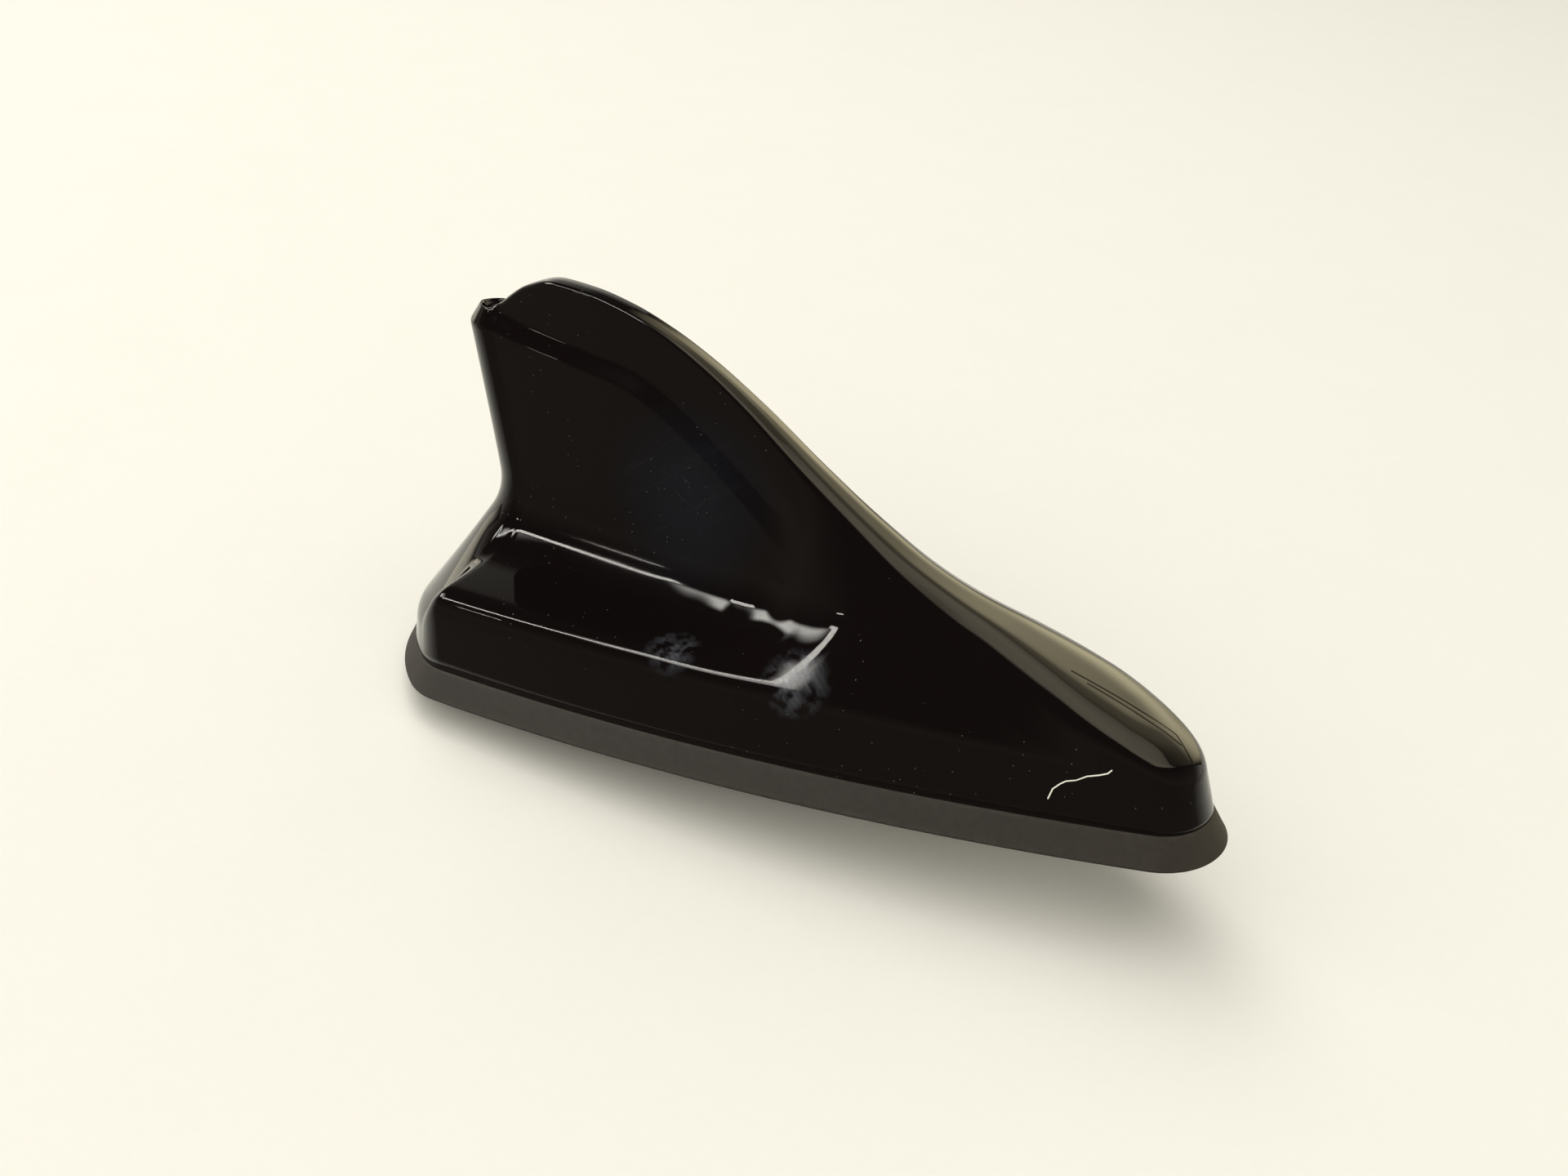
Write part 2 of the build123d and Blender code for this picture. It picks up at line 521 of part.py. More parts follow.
NODES = {
    "radome_cover": [cover],
    "base_gasket": [gasket],
    "stem_seal": [stem_seal],
    "cover_seal": [cover_seal],
    "base_plate": [plate],
    "cover_screws": cover_screws,
    "board_screws": board_screws,
    "clamp_claw": [claw],
    "clamp_bolt": [bolt],
    "jack_housing": [jack_housing],
    "jack_barrels": jack_barrels,
    "jack_pins": jack_pins,
    "main_board": [board],
    "shield_cans": shield_cans,
    "amp_chips": amp_chips,
    "nav_pad": [nav_pad],
    "nav_patch": [nav_patch],
    "nav_face": [nav_face],
    "nav_pin": [nav_pin],
    "fin_board": [fin_board],
    "load_plates": load_plates,
    "fin_holders": holders,
    "feed_clips": clips,
    "choke_core": [choke_core],
    "choke_winding": [choke_winding],
    "phone_radiator_rear": [phone_rear],
    "phone_radiator_front": [phone_front],
}

for name, bodies in NODES.items():
    solids = [solid for body in bodies for solid in body.solids()]
    export_step(Compound(children=solids) if len(solids) > 1 else solids[0], f"parts/{name}.step")
    print(name, len(solids), round(sum(s.volume for s in solids), 1))
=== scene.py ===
# %% [markdown]
# # A fin-shaped roof antenna
#
# The object is a car's roof antenna: a glossy black moulded cover over a matt rubber gasket, with a cast plate, a
# clamp stem and the radio boards hidden inside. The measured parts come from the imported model, which is loaded here
# as a fixed frame. This lesson dresses them: the two pieces that show are worked out again as fine surfaces with
# numpy, and every other piece gets a finish of its own.

# %% Load the measured parts
import math

import bpy
import numpy as np
from mathutils import Matrix, Vector


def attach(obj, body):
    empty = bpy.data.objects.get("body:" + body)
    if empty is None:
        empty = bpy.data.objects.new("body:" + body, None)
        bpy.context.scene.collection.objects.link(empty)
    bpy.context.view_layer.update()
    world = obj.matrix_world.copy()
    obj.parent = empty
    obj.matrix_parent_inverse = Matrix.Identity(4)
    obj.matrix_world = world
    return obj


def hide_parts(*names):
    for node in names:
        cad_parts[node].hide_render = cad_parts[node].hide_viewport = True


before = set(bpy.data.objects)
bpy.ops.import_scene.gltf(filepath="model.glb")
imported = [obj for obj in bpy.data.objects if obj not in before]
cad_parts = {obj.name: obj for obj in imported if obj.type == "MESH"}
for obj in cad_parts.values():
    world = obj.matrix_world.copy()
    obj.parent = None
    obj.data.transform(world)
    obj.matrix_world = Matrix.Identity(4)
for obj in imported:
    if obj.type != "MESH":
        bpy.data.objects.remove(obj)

scene = bpy.context.scene
scene.view_settings.view_transform = "Standard"
MM = 0.001
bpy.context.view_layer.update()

# %% [markdown]
# ## The plan outline
#
# Seen from above, the gasket's foot is four kinds of arc that meet in tangents: a wide rear end, two corners, two
# long bowed sides and a small round nose. A place on it is one number: 0 is the middle of the rear, 1 to 2 is the
# corner, 2 to 3 the side, and 4 the tip of the nose. Every line of the cover and the gasket is this outline, moved
# inwards by an inset, so writing it once as a function keeps all the seams together.

# %% Plan outline as arcs
LENGTH, HALF_WIDTH = 163.0, 36.2
CORNER_RADIUS, NOSE_RADIUS, SIDE_RADIUS, REAR_DEPTH = 13.0, 12.0, 455.0, 13.81


def outline_arcs():
    """Centre x, centre y, radius, first and last normal angle of the rear, corner, side and nose arcs."""
    corner_y = HALF_WIDTH - CORNER_RADIUS
    rear_radius = CORNER_RADIUS + math.hypot(REAR_DEPTH, corner_y)
    rear_x = -LENGTH / 2 + rear_radius
    corner_x = rear_x - REAR_DEPTH
    nose_x = LENGTH / 2 - NOSE_RADIUS
    span_x = nose_x - corner_x
    span = math.hypot(span_x, corner_y)
    to_corner, to_nose = SIDE_RADIUS - CORNER_RADIUS, SIDE_RADIUS - NOSE_RADIUS
    part = (to_corner ** 2 - to_nose ** 2 + span ** 2) / (2 * span)
    away = math.sqrt(to_corner ** 2 - part ** 2)
    side_x = corner_x + part * span_x / span - away * corner_y / span
    side_y = corner_y - part * corner_y / span - away * span_x / span
    rear_turn = math.atan2(corner_y, corner_x - rear_x)
    side_turn = math.atan2(corner_y - side_y, corner_x - side_x)
    nose_turn = math.atan2(-side_y, nose_x - side_x)
    return np.array([(rear_x, 0.0, rear_radius, math.pi, rear_turn),
                     (corner_x, corner_y, CORNER_RADIUS, rear_turn, side_turn),
                     (side_x, side_y, SIDE_RADIUS, side_turn, nose_turn),
                     (nose_x, 0.0, NOSE_RADIUS, nose_turn, 0.0)])


ARCS = outline_arcs()


def outline(place, inset):
    """Points (x, y) at these places: the arc's centre plus (radius less inset) along the normal at that angle."""
    index = np.minimum(place.astype(int), 3)
    centre_x, centre_y, radius, first, last = ARCS[index].T
    angle = first + (place - index) * (last - first)
    return centre_x + (radius - inset) * np.cos(angle), centre_y + (radius - inset) * np.sin(angle)


def places(rear, corner, side, nose):
    """Places from 0 to 4 with a count of steps for each arc."""
    runs = [i + np.arange(n) / n for i, n in enumerate((rear, corner, side, nose))]
    return np.append(np.concatenate(runs), 4.0)


print("arcs, radius in mm:", ARCS[:, 2].tolist())

# %% [markdown]
# ## The lines of the cover
#
# A moulded shell like this is drawn by its feature lines: the spine on top, the two edges of the hood, the step
# where the side panel of the fin ends, the hollow at the fin's foot, and the shoulder above the skirt. Each line is
# a smooth curve through a few stations along the antenna. A section at one place then runs from the seam up to the
# spine through those lines, with every corner rounded off. Sculpting would give the same form, but drawn lines can
# be set one by one against the photograph, and the reflections stay calm between them.

# %% Stations of the feature lines, in millimetres
SEAM_Z, SEAM_INSET = 5.2, 2.7
FIN_REAR_X, FIN_SIDE_X, SIDE_END_X, NOSE_TOP_X = -58.0, -55.0, 62.0, 65.3
SWEEP_START_X = 20.0
SPINE_Z = [(-58, 62.4), (-54, 65.3), (-48, 68.7), (-41, 70.5), (-34, 70.1), (-26, 68.6), (-18, 65.8), (-10, 61.6),
           (-2, 56.1), (8, 48.0), (18, 40.6), (26, 35.6), (34, 32.1), (44, 28.9), (54, 25.3), (60, 22.9), (66, 20.3)]
EDGE_HALF = [(-58, 2.2), (-20, 2.2), (-8, 2.5), (3, 3.1), (14, 3.6), (23, 4.2), (31, 4.9), (38, 6.0), (44.8, 7.6),
             (50, 9.1), (54, 10.4), (58, 11.2), (62, 11.6), (65.3, 11.2)]
EDGE_DROP = [(-58, 0.1), (-8, 0.3), (10, 0.8), (30, 1.4), (45, 1.7), (54, 1.8), (62, 1.9), (65.3, 1.6)]
SHOULDER_Z = [(-58, 20.0), (-15, 19.6), (0, 18.6), (15, 17.6), (30, 17.0), (45, 16.0), (54, 14.4), (62, 11.0),
              (65.3, 8.8)]
FOOT_HALF = [(-58, 7.0), (-25, 7.0), (-12, 8.0), (0, 10.0), (10, 12.0), (20, 12.2), (30, 11.6), (40, 11.4),
             (50, 11.8)]
FOOT_Z = [(-58, 21.3), (-22, 21.4), (-10, 22.2), (0, 23.8), (10, 26.0), (20, 28.0), (30, 26.9), (40, 23.6),
          (50, 20.6)]
PANEL_Z = [(-58, 60.6), (-49, 58.6), (-38, 57.0), (-26, 55.0), (-18, 51.0), (-11.6, 46.3), (-3.3, 39.4),
           (4.7, 33.5), (12, 30.5)]
SKIRT_DRAFT, PANEL_STEP, BLADE_FLARE, RAMP_HEIGHT, TIP_ROUND = 1.0, 2.6, 0.5, 3.0, 0.7
REAR_SHOULDER, REAR_FOOT = 9.5, 28.0
LEAN, LEAN_START, LEAN_SOFT = 0.214, 29.0, 6.0

# Where each blend along X starts and ends, the shares that are blended, and the radii of a section's corners
FIN_FADE, HOOD_FADE, CROWN_FADE, FALL_FADE = (-4, 13), (36, 58), (-8, 22), (0, 30)
CROWN_SHARES, BLADE_SHARES, PANEL_SHARES, FOOT_SHARE = (0.15, 0.5), (0.4, 0.75), (0.65, 0.88), 0.93
STEEP_START_X = -40
SHOULDER_RADIUS, FOOT_RADIUS, PANEL_RADIUS, BLADE_RADIUS, CROWN_RADIUS = 5.0, 14.0, 0.9, 2.2, 40.0
EDGE_RADIUS, EDGE_RADIUS_GAIN, EDGE_FADE = 3.0, 5.0, (5, 64)


def along(stations, x):
    """Cubic pieces through the stations; a slope is the weighted harmonic mean of the rises on both sides."""
    xs, ys = np.array(stations, float).T
    steps = np.diff(xs)
    rises = np.diff(ys) / steps
    ahead, behind = 2 * steps[1:] + steps[:-1], steps[1:] + 2 * steps[:-1]
    same = rises[:-1] * rises[1:] > 0
    safe = np.where(same, rises[:-1], 1.0), np.where(same, rises[1:], 1.0)
    inner = np.where(same, (ahead + behind) / (ahead / safe[0] + behind / safe[1]), 0.0)
    slopes = np.concatenate([rises[:1], inner, rises[-1:]])
    x = np.clip(x, xs[0], xs[-1])
    i = np.clip(np.searchsorted(xs, x) - 1, 0, len(steps) - 1)
    t = (x - xs[i]) / steps[i]
    value = (1 + 2 * t) * (1 - t) ** 2 * ys[i] + t * (1 - t) ** 2 * steps[i] * slopes[i]
    return value + t * t * (3 - 2 * t) * ys[i + 1] + t * t * (t - 1) * steps[i] * slopes[i + 1]


def ease(start, end, x):
    """Smooth step from 0 to 1: three squares less two cubes of the share between start and end."""
    t = np.clip((x - start) / (end - start), 0, 1)
    return t * t * (3 - 2 * t)


def mix(a, b, t):
    """Straight blend from a to b."""
    return a + (b - a) * t


def lean_back(z):
    """How far the fin leans back at height z: a straight slope with a soft start."""
    d = z - LEAN_START
    return LEAN * 0.5 * (d + np.sqrt(d * d + LEAN_SOFT ** 2))


def anchors(place):
    """Where each section meets the middle plane: nearly still at the rear, beside its place on the sides, held back
    at the nose so that the sections fan out there."""
    ox, _ = outline(place, SEAM_INSET)
    end_x = outline(np.array([3.0]), SEAM_INSET)[0]
    start_x = outline(np.array([2.0]), SEAM_INSET)[0]
    sweep = np.clip((ox - SWEEP_START_X) / (end_x - SWEEP_START_X), 0, 1)
    side = ox + (FIN_SIDE_X - start_x) * (1 - ease(start_x, 0, ox)) - (end_x - SIDE_END_X) * sweep ** 2
    t = place - 3
    nose = mix(SIDE_END_X, NOSE_TOP_X, 2 * t - t * t)
    rear = mix(FIN_REAR_X, FIN_SIDE_X, place / 2)
    return np.where(place <= 2, rear, np.where(place <= 3, side, nose))


def cover_knots(place):
    """Each section's knots (distance from the middle plane's anchor, height) from the seam up to the spine."""
    x = anchors(place)
    ox, oy = outline(place, SEAM_INSET)
    run = np.hypot(ox - x, oy)
    forward = (ox - x) / run
    top = along(SPINE_Z, x)
    slope = along(SPINE_Z, x + 0.5) - along(SPINE_Z, x - 0.5)
    steep = np.where(x > STEEP_START_X, slope, 0.0)
    stretch = np.sqrt(1 + steep ** 2)
    fall = np.where(place > 2, slope * forward * ease(*FALL_FADE, x), 0.0)
    back = 1 - ease(0.3, 2.0, place)
    fin = 1 - ease(*FIN_FADE, x)
    front = ease(*HOOD_FADE, x)
    crown = mix(*CROWN_SHARES, ease(*CROWN_FADE, x))
    edge = along(EDGE_HALF, x) + TIP_ROUND * back
    edge_z = top + fall * edge - along(EDGE_DROP, x)
    shoulder = run - SKIRT_DRAFT
    shoulder_z = mix(along(SHOULDER_Z, x), REAR_SHOULDER, back)
    foot = mix(along(FOOT_HALF, x), mix(edge, shoulder, FOOT_SHARE), front)
    foot_z = mix(mix(along(FOOT_Z, x), REAR_FOOT, back), mix(edge_z, shoulder_z, FOOT_SHARE), front)
    panel_z = along(PANEL_Z, x)
    share_blade, share_panel = mix(*BLADE_SHARES, front), mix(*PANEL_SHARES, front)
    blade = mix(mix(edge, foot, share_blade), edge + BLADE_FLARE, fin)
    blade_z = mix(mix(edge_z, foot_z, share_blade), panel_z + RAMP_HEIGHT * stretch, fin)
    panel = mix(mix(edge, foot, share_panel), edge + BLADE_FLARE + PANEL_STEP, fin)
    panel_top = mix(mix(edge_z, foot_z, share_panel), panel_z, fin)
    seam_z = np.full_like(x, SEAM_Z)
    nought = np.zeros_like(x)
    away = np.stack([run, shoulder, foot, panel, blade, edge, crown * edge, nought], 1)
    height = np.stack([seam_z, shoulder_z, foot_z, panel_top, blade_z, edge_z, top + crown * fall * edge, top], 1)
    return x, np.stack([forward, oy / run], 1), np.stack([away, height], 2)


def rounded(knots, radii, counts):
    """Rows of points on a run of straight lines with its corners rounded off. A corner starts and ends one set-back
    from its knot, radius times the tangent of half the turn, and is a parabola between."""
    legs = np.diff(knots, axis=1)
    size = np.linalg.norm(legs, axis=2)
    way = legs / np.maximum(size, 1e-9)[:, :, None]
    turn = np.arccos(np.clip((way[:, :-1] * way[:, 1:]).sum(2), -1, 1))
    shortest = np.minimum(size[:, :-1], size[:, 1:])
    back = np.clip(np.stack(radii, 1) * np.tan(turn / 2), 0.15 * shortest, 0.49 * shortest)
    start = knots[:, 1:-1] - way[:, :-1] * back[:, :, None]
    end = knots[:, 1:-1] + way[:, 1:] * back[:, :, None]
    here = np.concatenate([knots[:, :1], end], 1)
    there = np.concatenate([start, knots[:, -1:]], 1)
    rows = []
    for i, (straight, bend) in enumerate(counts):
        t = (np.arange(straight) / straight)[None, :, None]
        rows.append(mix(here[:, i, None], there[:, i, None], t))
        if bend:
            t = (np.arange(bend) / bend)[None, :, None]
            a, b, c = start[:, i, None], knots[:, i + 1, None], end[:, i, None]
            rows.append((1 - t) ** 2 * a + 2 * t * (1 - t) * b + t * t * c)
    rows.append(knots[:, -1:])
    return np.concatenate(rows, 1)


def lifted(x, way, flat):
    """Carries flat section points (distance, height) into space along each section's way, and leans them back."""
    away, z = flat[:, :, 0], flat[:, :, 1]
    return np.stack([x[:, None] + away * way[:, :1] - lean_back(z), away * way[:, 1:], z], 2)


SKIN_COUNTS = [(5, 12), (8, 18), (10, 8), (3, 8), (8, 14), (2, 6), (3, 0)]


def cover_skin(place):
    """The cover's outside for the +Y half: one rounded section at each place."""
    x, way, knots = cover_knots(place)
    edge_radius = EDGE_RADIUS + EDGE_RADIUS_GAIN * ease(*EDGE_FADE, x)
    radii = [SHOULDER_RADIUS, FOOT_RADIUS, PANEL_RADIUS, BLADE_RADIUS, edge_radius, CROWN_RADIUS]
    radii = [np.broadcast_to(radius, x.shape) for radius in radii]
    return lifted(x, way, rounded(knots, radii, SKIN_COUNTS))


trial = cover_skin(places(4, 4, 20, 4))
print("cover skin, rows:", trial.shape[1], "top, mm:", round(float(trial[:, :, 2].max()), 2))

# %% [markdown]
# ## From arrays to a mesh
#
# Each piece that shows is a grid of points, or a band of them that closes on itself. numpy makes the faces from
# index arrays, and points that meet on the middle plane are welded by rounding their coordinates, so the halves
# join without a seam.

# %% Mesh helper
WELD = 1e-6


def band_faces(count_u, count_v, closed_u, closed_v, start=0):
    """Quads of a grid, u running round and v across. A closed direction joins its end to its beginning."""
    u, v = np.arange(count_u if closed_u else count_u - 1), np.arange(count_v if closed_v else count_v - 1)
    u, v = [a.ravel() for a in np.meshgrid(u, v, indexing="ij")]
    next_u, next_v = (u + 1) % count_u, (v + 1) % count_v
    corner = [u * count_v + v, next_u * count_v + v, next_u * count_v + next_v, u * count_v + next_v]
    return np.stack(corner, 1) + start


def both_sides(half):
    """A closed ring of sections: the +Y half from rear to nose, then its mirror image back to the rear."""
    mirror = half[-2:0:-1] * np.array([1.0, -1.0, 1.0])
    return np.concatenate([half, mirror])


def make_piece(name, parts, stands_for):
    """Welds the parts (points in mm, quads) into one smooth mesh object at the origin, riding on the antenna."""
    points = np.concatenate([p.reshape(-1, 3) for p, _ in parts]) * MM
    starts = np.cumsum([0] + [p.reshape(-1, 3).shape[0] for p, _ in parts[:-1]])
    quads = np.concatenate([q + s for (_, q), s in zip(parts, starts)])
    cells = np.round(points / WELD).astype(np.int64)
    _, first, index = np.unique(cells, axis=0, return_index=True, return_inverse=True)
    points, quads = points[first], index.reshape(-1)[quads]
    corners = [quads, np.roll(quads, -1, axis=1)]
    quads = quads[(corners[0] != corners[1]).all(1)]
    mesh = bpy.data.meshes.new(name)
    mesh.from_pydata(points.tolist(), [], quads.tolist())
    mesh.polygons.foreach_set("use_smooth", np.ones(len(quads), bool))
    mesh.update()
    piece = bpy.data.objects.new(name, mesh)
    scene.collection.objects.link(piece)
    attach(piece, "root")
    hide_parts(stands_for)
    print(name, "points:", len(points), "faces:", len(quads))
    return piece


# %% [markdown]
# ## The cover
#
# The real cover is one moulding: a glossy outside, a hollow inside and a flat rim that sits on the base plate. So
# the piece is one closed profile carried round the outline: down the inside from the ceiling, over the flange and
# the rim, and up the outside to the spine. Five short tubes stand inside for the screws.

# %% Cover piece
WALL, FIN_ROOF, REAR_WALL = 2.4, 1.6, 9.0
FLANGE_TOP, FLANGE_INSET = 7.3, 8.0
WALL_RISE, FOOT_RISE, CEILING_RISE, FOOT_DROP, INNER_SHARE = 0.7, 0.8, 1.6, 0.4, 0.92
RIM_INSETS = (5.6, 3.2)
BOSS_PLACES, BOSS_INSETS = np.array([0.8, 2.37, 4.0]), np.array([11.0, 11.0, 18.5])
BOSS_HOLE, BOSS_RADIUS, BOSS_TOP = 1.05, 3.1, 12.0
COVER_PLACES = places(24, 20, 150, 34)


def inner_skin(place):
    """The hollow's section: straight lines from the ceiling to the crest, the foot, the wall and the flange."""
    _, _, side = cover_knots(np.maximum(place, 2.0))
    x = anchors(place)
    fin = 1 - ease(*FIN_FADE, np.maximum(x, FIN_SIDE_X))
    ox, oy = outline(place, SEAM_INSET)
    length = np.hypot(ox - x, oy)
    run = length - WALL - REAR_WALL * (1 - ease(0.4, 2, place))
    wall_z = np.maximum(side[:, 1, 1] - WALL, FLANGE_TOP + WALL_RISE)
    ceiling = np.maximum(mix(side[:, 5, 1] - WALL, side[:, 3, 1] - FIN_ROOF, fin), wall_z + CEILING_RISE)
    foot_z = np.minimum(np.maximum(side[:, 2, 1] - WALL, wall_z + FOOT_RISE), ceiling - FOOT_DROP)
    foot = np.minimum(side[:, 2, 0] - WALL, INNER_SHARE * (run - SKIRT_DRAFT))
    crest = np.minimum(mix(side[:, 5, 0], side[:, 3, 0], fin) - WALL, INNER_SHARE * foot)
    away = np.stack([np.zeros_like(x), crest, foot, run - SKIRT_DRAFT, run], 1)
    height = np.stack([ceiling, ceiling, foot_z, wall_z, np.full_like(x, FLANGE_TOP)], 1)
    share = np.arange(4)[None, None, :, None] / 4
    knots = np.stack([away, height], 2)
    rows = mix(knots[:, :-1, None], knots[:, 1:, None], share).reshape(len(x), -1, 2)
    rows = np.concatenate([rows, knots[:, -1:]], 1)
    return lifted(x, np.stack([(ox - x) / length, oy / length], 1), rows)


def ring_row(place, inset, z):
    """One row of points: the outline moved in by inset, at height z."""
    x, y = outline(place, inset)
    return np.stack([x, y, np.full_like(x, z)], 1)[:, None]


def tube(x, y, inner, outer, low, high, count=24):
    """A tube's wall: a rectangle of radius and height carried round a circle."""
    turn = np.arange(count) / count * 2 * np.pi
    radius = np.array([inner, inner, outer, outer])
    z = np.array([low, high, high, low])
    points = np.stack([x + np.cos(turn)[:, None] * radius, y + np.sin(turn)[:, None] * radius,
                       np.broadcast_to(z, (count, 4))], 2)
    return points, band_faces(count, 4, True, True)


flange = [ring_row(COVER_PLACES, FLANGE_INSET, z) for z in (FLANGE_TOP, SEAM_Z)]
rim = [ring_row(COVER_PLACES, inset, SEAM_Z) for inset in RIM_INSETS]
cover_half = np.concatenate([inner_skin(COVER_PLACES)] + flange + rim + [cover_skin(COVER_PLACES)], 1)
ring = both_sides(cover_half)
cover_parts = [(ring, band_faces(ring.shape[0], ring.shape[1], True, False))]
boss_x, boss_y = outline(BOSS_PLACES, BOSS_INSETS)
bosses = {(x, side * y) for x, y in zip(boss_x.tolist(), boss_y.tolist()) for side in (1, -1)}
cover_parts += [tube(x, y, BOSS_HOLE, BOSS_RADIUS, SEAM_Z, BOSS_TOP) for x, y in sorted(bosses)]
cover = make_piece("gloss_cover", cover_parts, "radome_cover")

# %% [markdown]
# ## The gasket
#
# The rubber gasket is a flared band with a thin floor under the plate. Its profile is closed too: the hole for the
# stem, the recess that takes the plate, a small lip against the cover, the flared side with soft edges, and the
# underside with its land round the stem. A modelled bead would hardly show, but the soft lower edge does, because
# it catches the pale floor.

# %% Gasket piece
GASKET_PLACES = places(40, 24, 120, 40)
HOLE, LAND = (47.4, 25.4), (54.0, 32.0)
SIDE_SHARES = np.linspace(0.0, 1.0, 9)
RECESS_INSET, RECESS_FLOOR, LIP = 3.5, 2.0, 0.2
SIDE_TOP_INSET, SIDE_TOP_DROP, SIDE_FLARE, SIDE_HEIGHT = SEAM_INSET - 0.05, 0.25, 2.45, 4.55
SOFT_EDGE = ((0.05, 0.2), (0.15, 0.05), (0.4, 0.0))
HOLLOW_INSET, HOLLOW_DEPTH = 9.0, 0.7


def slot_row(place, size, z):
    """A slot-shaped row: each point lies on the ray from the middle through the outline's point at its place."""
    x, y = outline(place, 0.0)
    c, s = x / np.hypot(x, y), np.abs(y) / np.hypot(x, y)
    end, half = (size[0] - size[1]) / 2, size[1] / 2
    flat = half / np.maximum(s, 1e-6)
    round_end = end * np.abs(c) + np.sqrt(np.maximum(half ** 2 - (end * s) ** 2, 0.0))
    r = np.where(flat * np.abs(c) <= end, flat, round_end)
    return np.stack([r * c, r * s, np.full_like(x, z)], 1)[:, None]


gasket_rows = [slot_row(GASKET_PLACES, HOLE, RECESS_FLOOR), ring_row(GASKET_PLACES, RECESS_INSET, RECESS_FLOOR)]
gasket_rows += [ring_row(GASKET_PLACES, inset, SEAM_Z) for inset in (RECESS_INSET, SEAM_INSET + LIP)]
gasket_rows += [ring_row(GASKET_PLACES, SIDE_TOP_INSET - SIDE_FLARE * t, SEAM_Z - SIDE_TOP_DROP - SIDE_HEIGHT * t)
                for t in SIDE_SHARES]
gasket_rows += [ring_row(GASKET_PLACES, inset, z) for inset, z in SOFT_EDGE]
gasket_rows += [ring_row(GASKET_PLACES, HOLLOW_INSET, z) for z in (0.0, HOLLOW_DEPTH)]
gasket_rows += [slot_row(GASKET_PLACES, LAND, z) for z in (HOLLOW_DEPTH, 0.0)] + [slot_row(GASKET_PLACES, HOLE, 0.0)]
gasket_ring = both_sides(np.concatenate(gasket_rows, 1))
gasket = make_piece("rubber_gasket", [(gasket_ring, band_faces(len(gasket_ring), gasket_ring.shape[1], True, True))],
                    "base_gasket")

# %% [markdown]
# ## Shared effects
#
# Three effects show on the gloss: dust specks, hairline scratches and the smears of fingers, with the fine ridges of
# the skin in them. Each is a node group that gives out a mask, so that a material can use it for its colour, its
# roughness or its bump. A fourth group is a plain two-scale grain, which every other finish is built on. Groups keep
# the materials short, and a change in one place reaches all of them.

# %% Node group helper
def new_group(name, inputs, output):
    """An empty shader group with float inputs (name, value), one float output, and a coordinate input."""
    group = bpy.data.node_groups.new(name, "ShaderNodeTree")
    group.interface.new_socket("Vector", in_out="INPUT", socket_type="NodeSocketVector")
    for label, value in inputs:
        group.interface.new_socket(label, in_out="INPUT", socket_type="NodeSocketFloat").default_value = value
    group.interface.new_socket(output, in_out="OUTPUT", socket_type="NodeSocketFloat")
    enter = group.nodes.new("NodeGroupInput")
    leave = group.nodes.new("NodeGroupOutput")
    return group, enter, leave


def add(tree, kind, **values):
    """A node with these inputs set, or these properties where no input has the name."""
    node = tree.nodes.new(kind)
    for key, value in values.items():
        label = key.title()
        if label in node.inputs:
            node.inputs[label].default_value = value
        else:
            setattr(node, key, value)
    return node


def ramp(tree, source, low, high):
    """Maps a value so that low becomes 0 and high becomes 1, clipped."""
    node = add(tree, "ShaderNodeMapRange", clamp=True)
    node.inputs["From Min"].default_value = low
    node.inputs["From Max"].default_value = high
    tree.links.new(source, node.inputs["Value"])
    return node.outputs["Result"]


def math_node(tree, operation, a, b):
    """One sum or product of two values, each a socket or a number."""
    node = add(tree, "ShaderNodeMath", operation=operation)
    for socket, value in zip(node.inputs, (a, b)):
        if isinstance(value, (int, float)):
            socket.default_value = value
        else:
            tree.links.new(value, socket)
    return node.outputs[0]


# %% Dust, hairlines, smears and grain
def dust_group():
    """Small bright cells: points of a cell pattern nearer than Size, kept where a coarse noise is high."""
    group, enter, leave = new_group("dust specks", [("Scale", 640.0), ("Size", 0.07), ("Amount", 0.55)], "Mask")
    cells = add(group, "ShaderNodeTexVoronoi")
    group.links.new(enter.outputs["Vector"], cells.inputs["Vector"])
    group.links.new(enter.outputs["Scale"], cells.inputs["Scale"])
    speck = math_node(group, "LESS_THAN", cells.outputs["Distance"], enter.outputs["Size"])
    patches = add(group, "ShaderNodeTexNoise", scale=38.0, detail=3.0)
    group.links.new(enter.outputs["Vector"], patches.inputs["Vector"])
    there = math_node(group, "GREATER_THAN", patches.outputs["Fac"], enter.outputs["Amount"])
    group.links.new(math_node(group, "MULTIPLY", speck, there), leave.inputs["Mask"])
    return group


def hairline_group():
    """Fine lines: thin bands of a strongly stretched noise, turned by Angle about the antenna's side."""
    group, enter, leave = new_group("hairline scratches", [("Angle", 0.6), ("Density", 0.02)], "Mask")
    turn = add(group, "ShaderNodeVectorRotate", rotation_type="Y_AXIS")
    group.links.new(enter.outputs["Vector"], turn.inputs["Vector"])
    group.links.new(enter.outputs["Angle"], turn.inputs["Angle"])
    stretch = add(group, "ShaderNodeMapping", vector_type="POINT")
    stretch.inputs["Scale"].default_value = (26.0, 90.0, 620.0)
    group.links.new(turn.outputs["Vector"], stretch.inputs["Vector"])
    lines = add(group, "ShaderNodeTexNoise", scale=1.0, detail=2.0)
    group.links.new(stretch.outputs["Vector"], lines.inputs["Vector"])
    off = math_node(group, "ABSOLUTE", math_node(group, "SUBTRACT", lines.outputs["Fac"], 0.62), 0.0)
    group.links.new(math_node(group, "LESS_THAN", off, enter.outputs["Density"]), leave.inputs["Mask"])
    return group


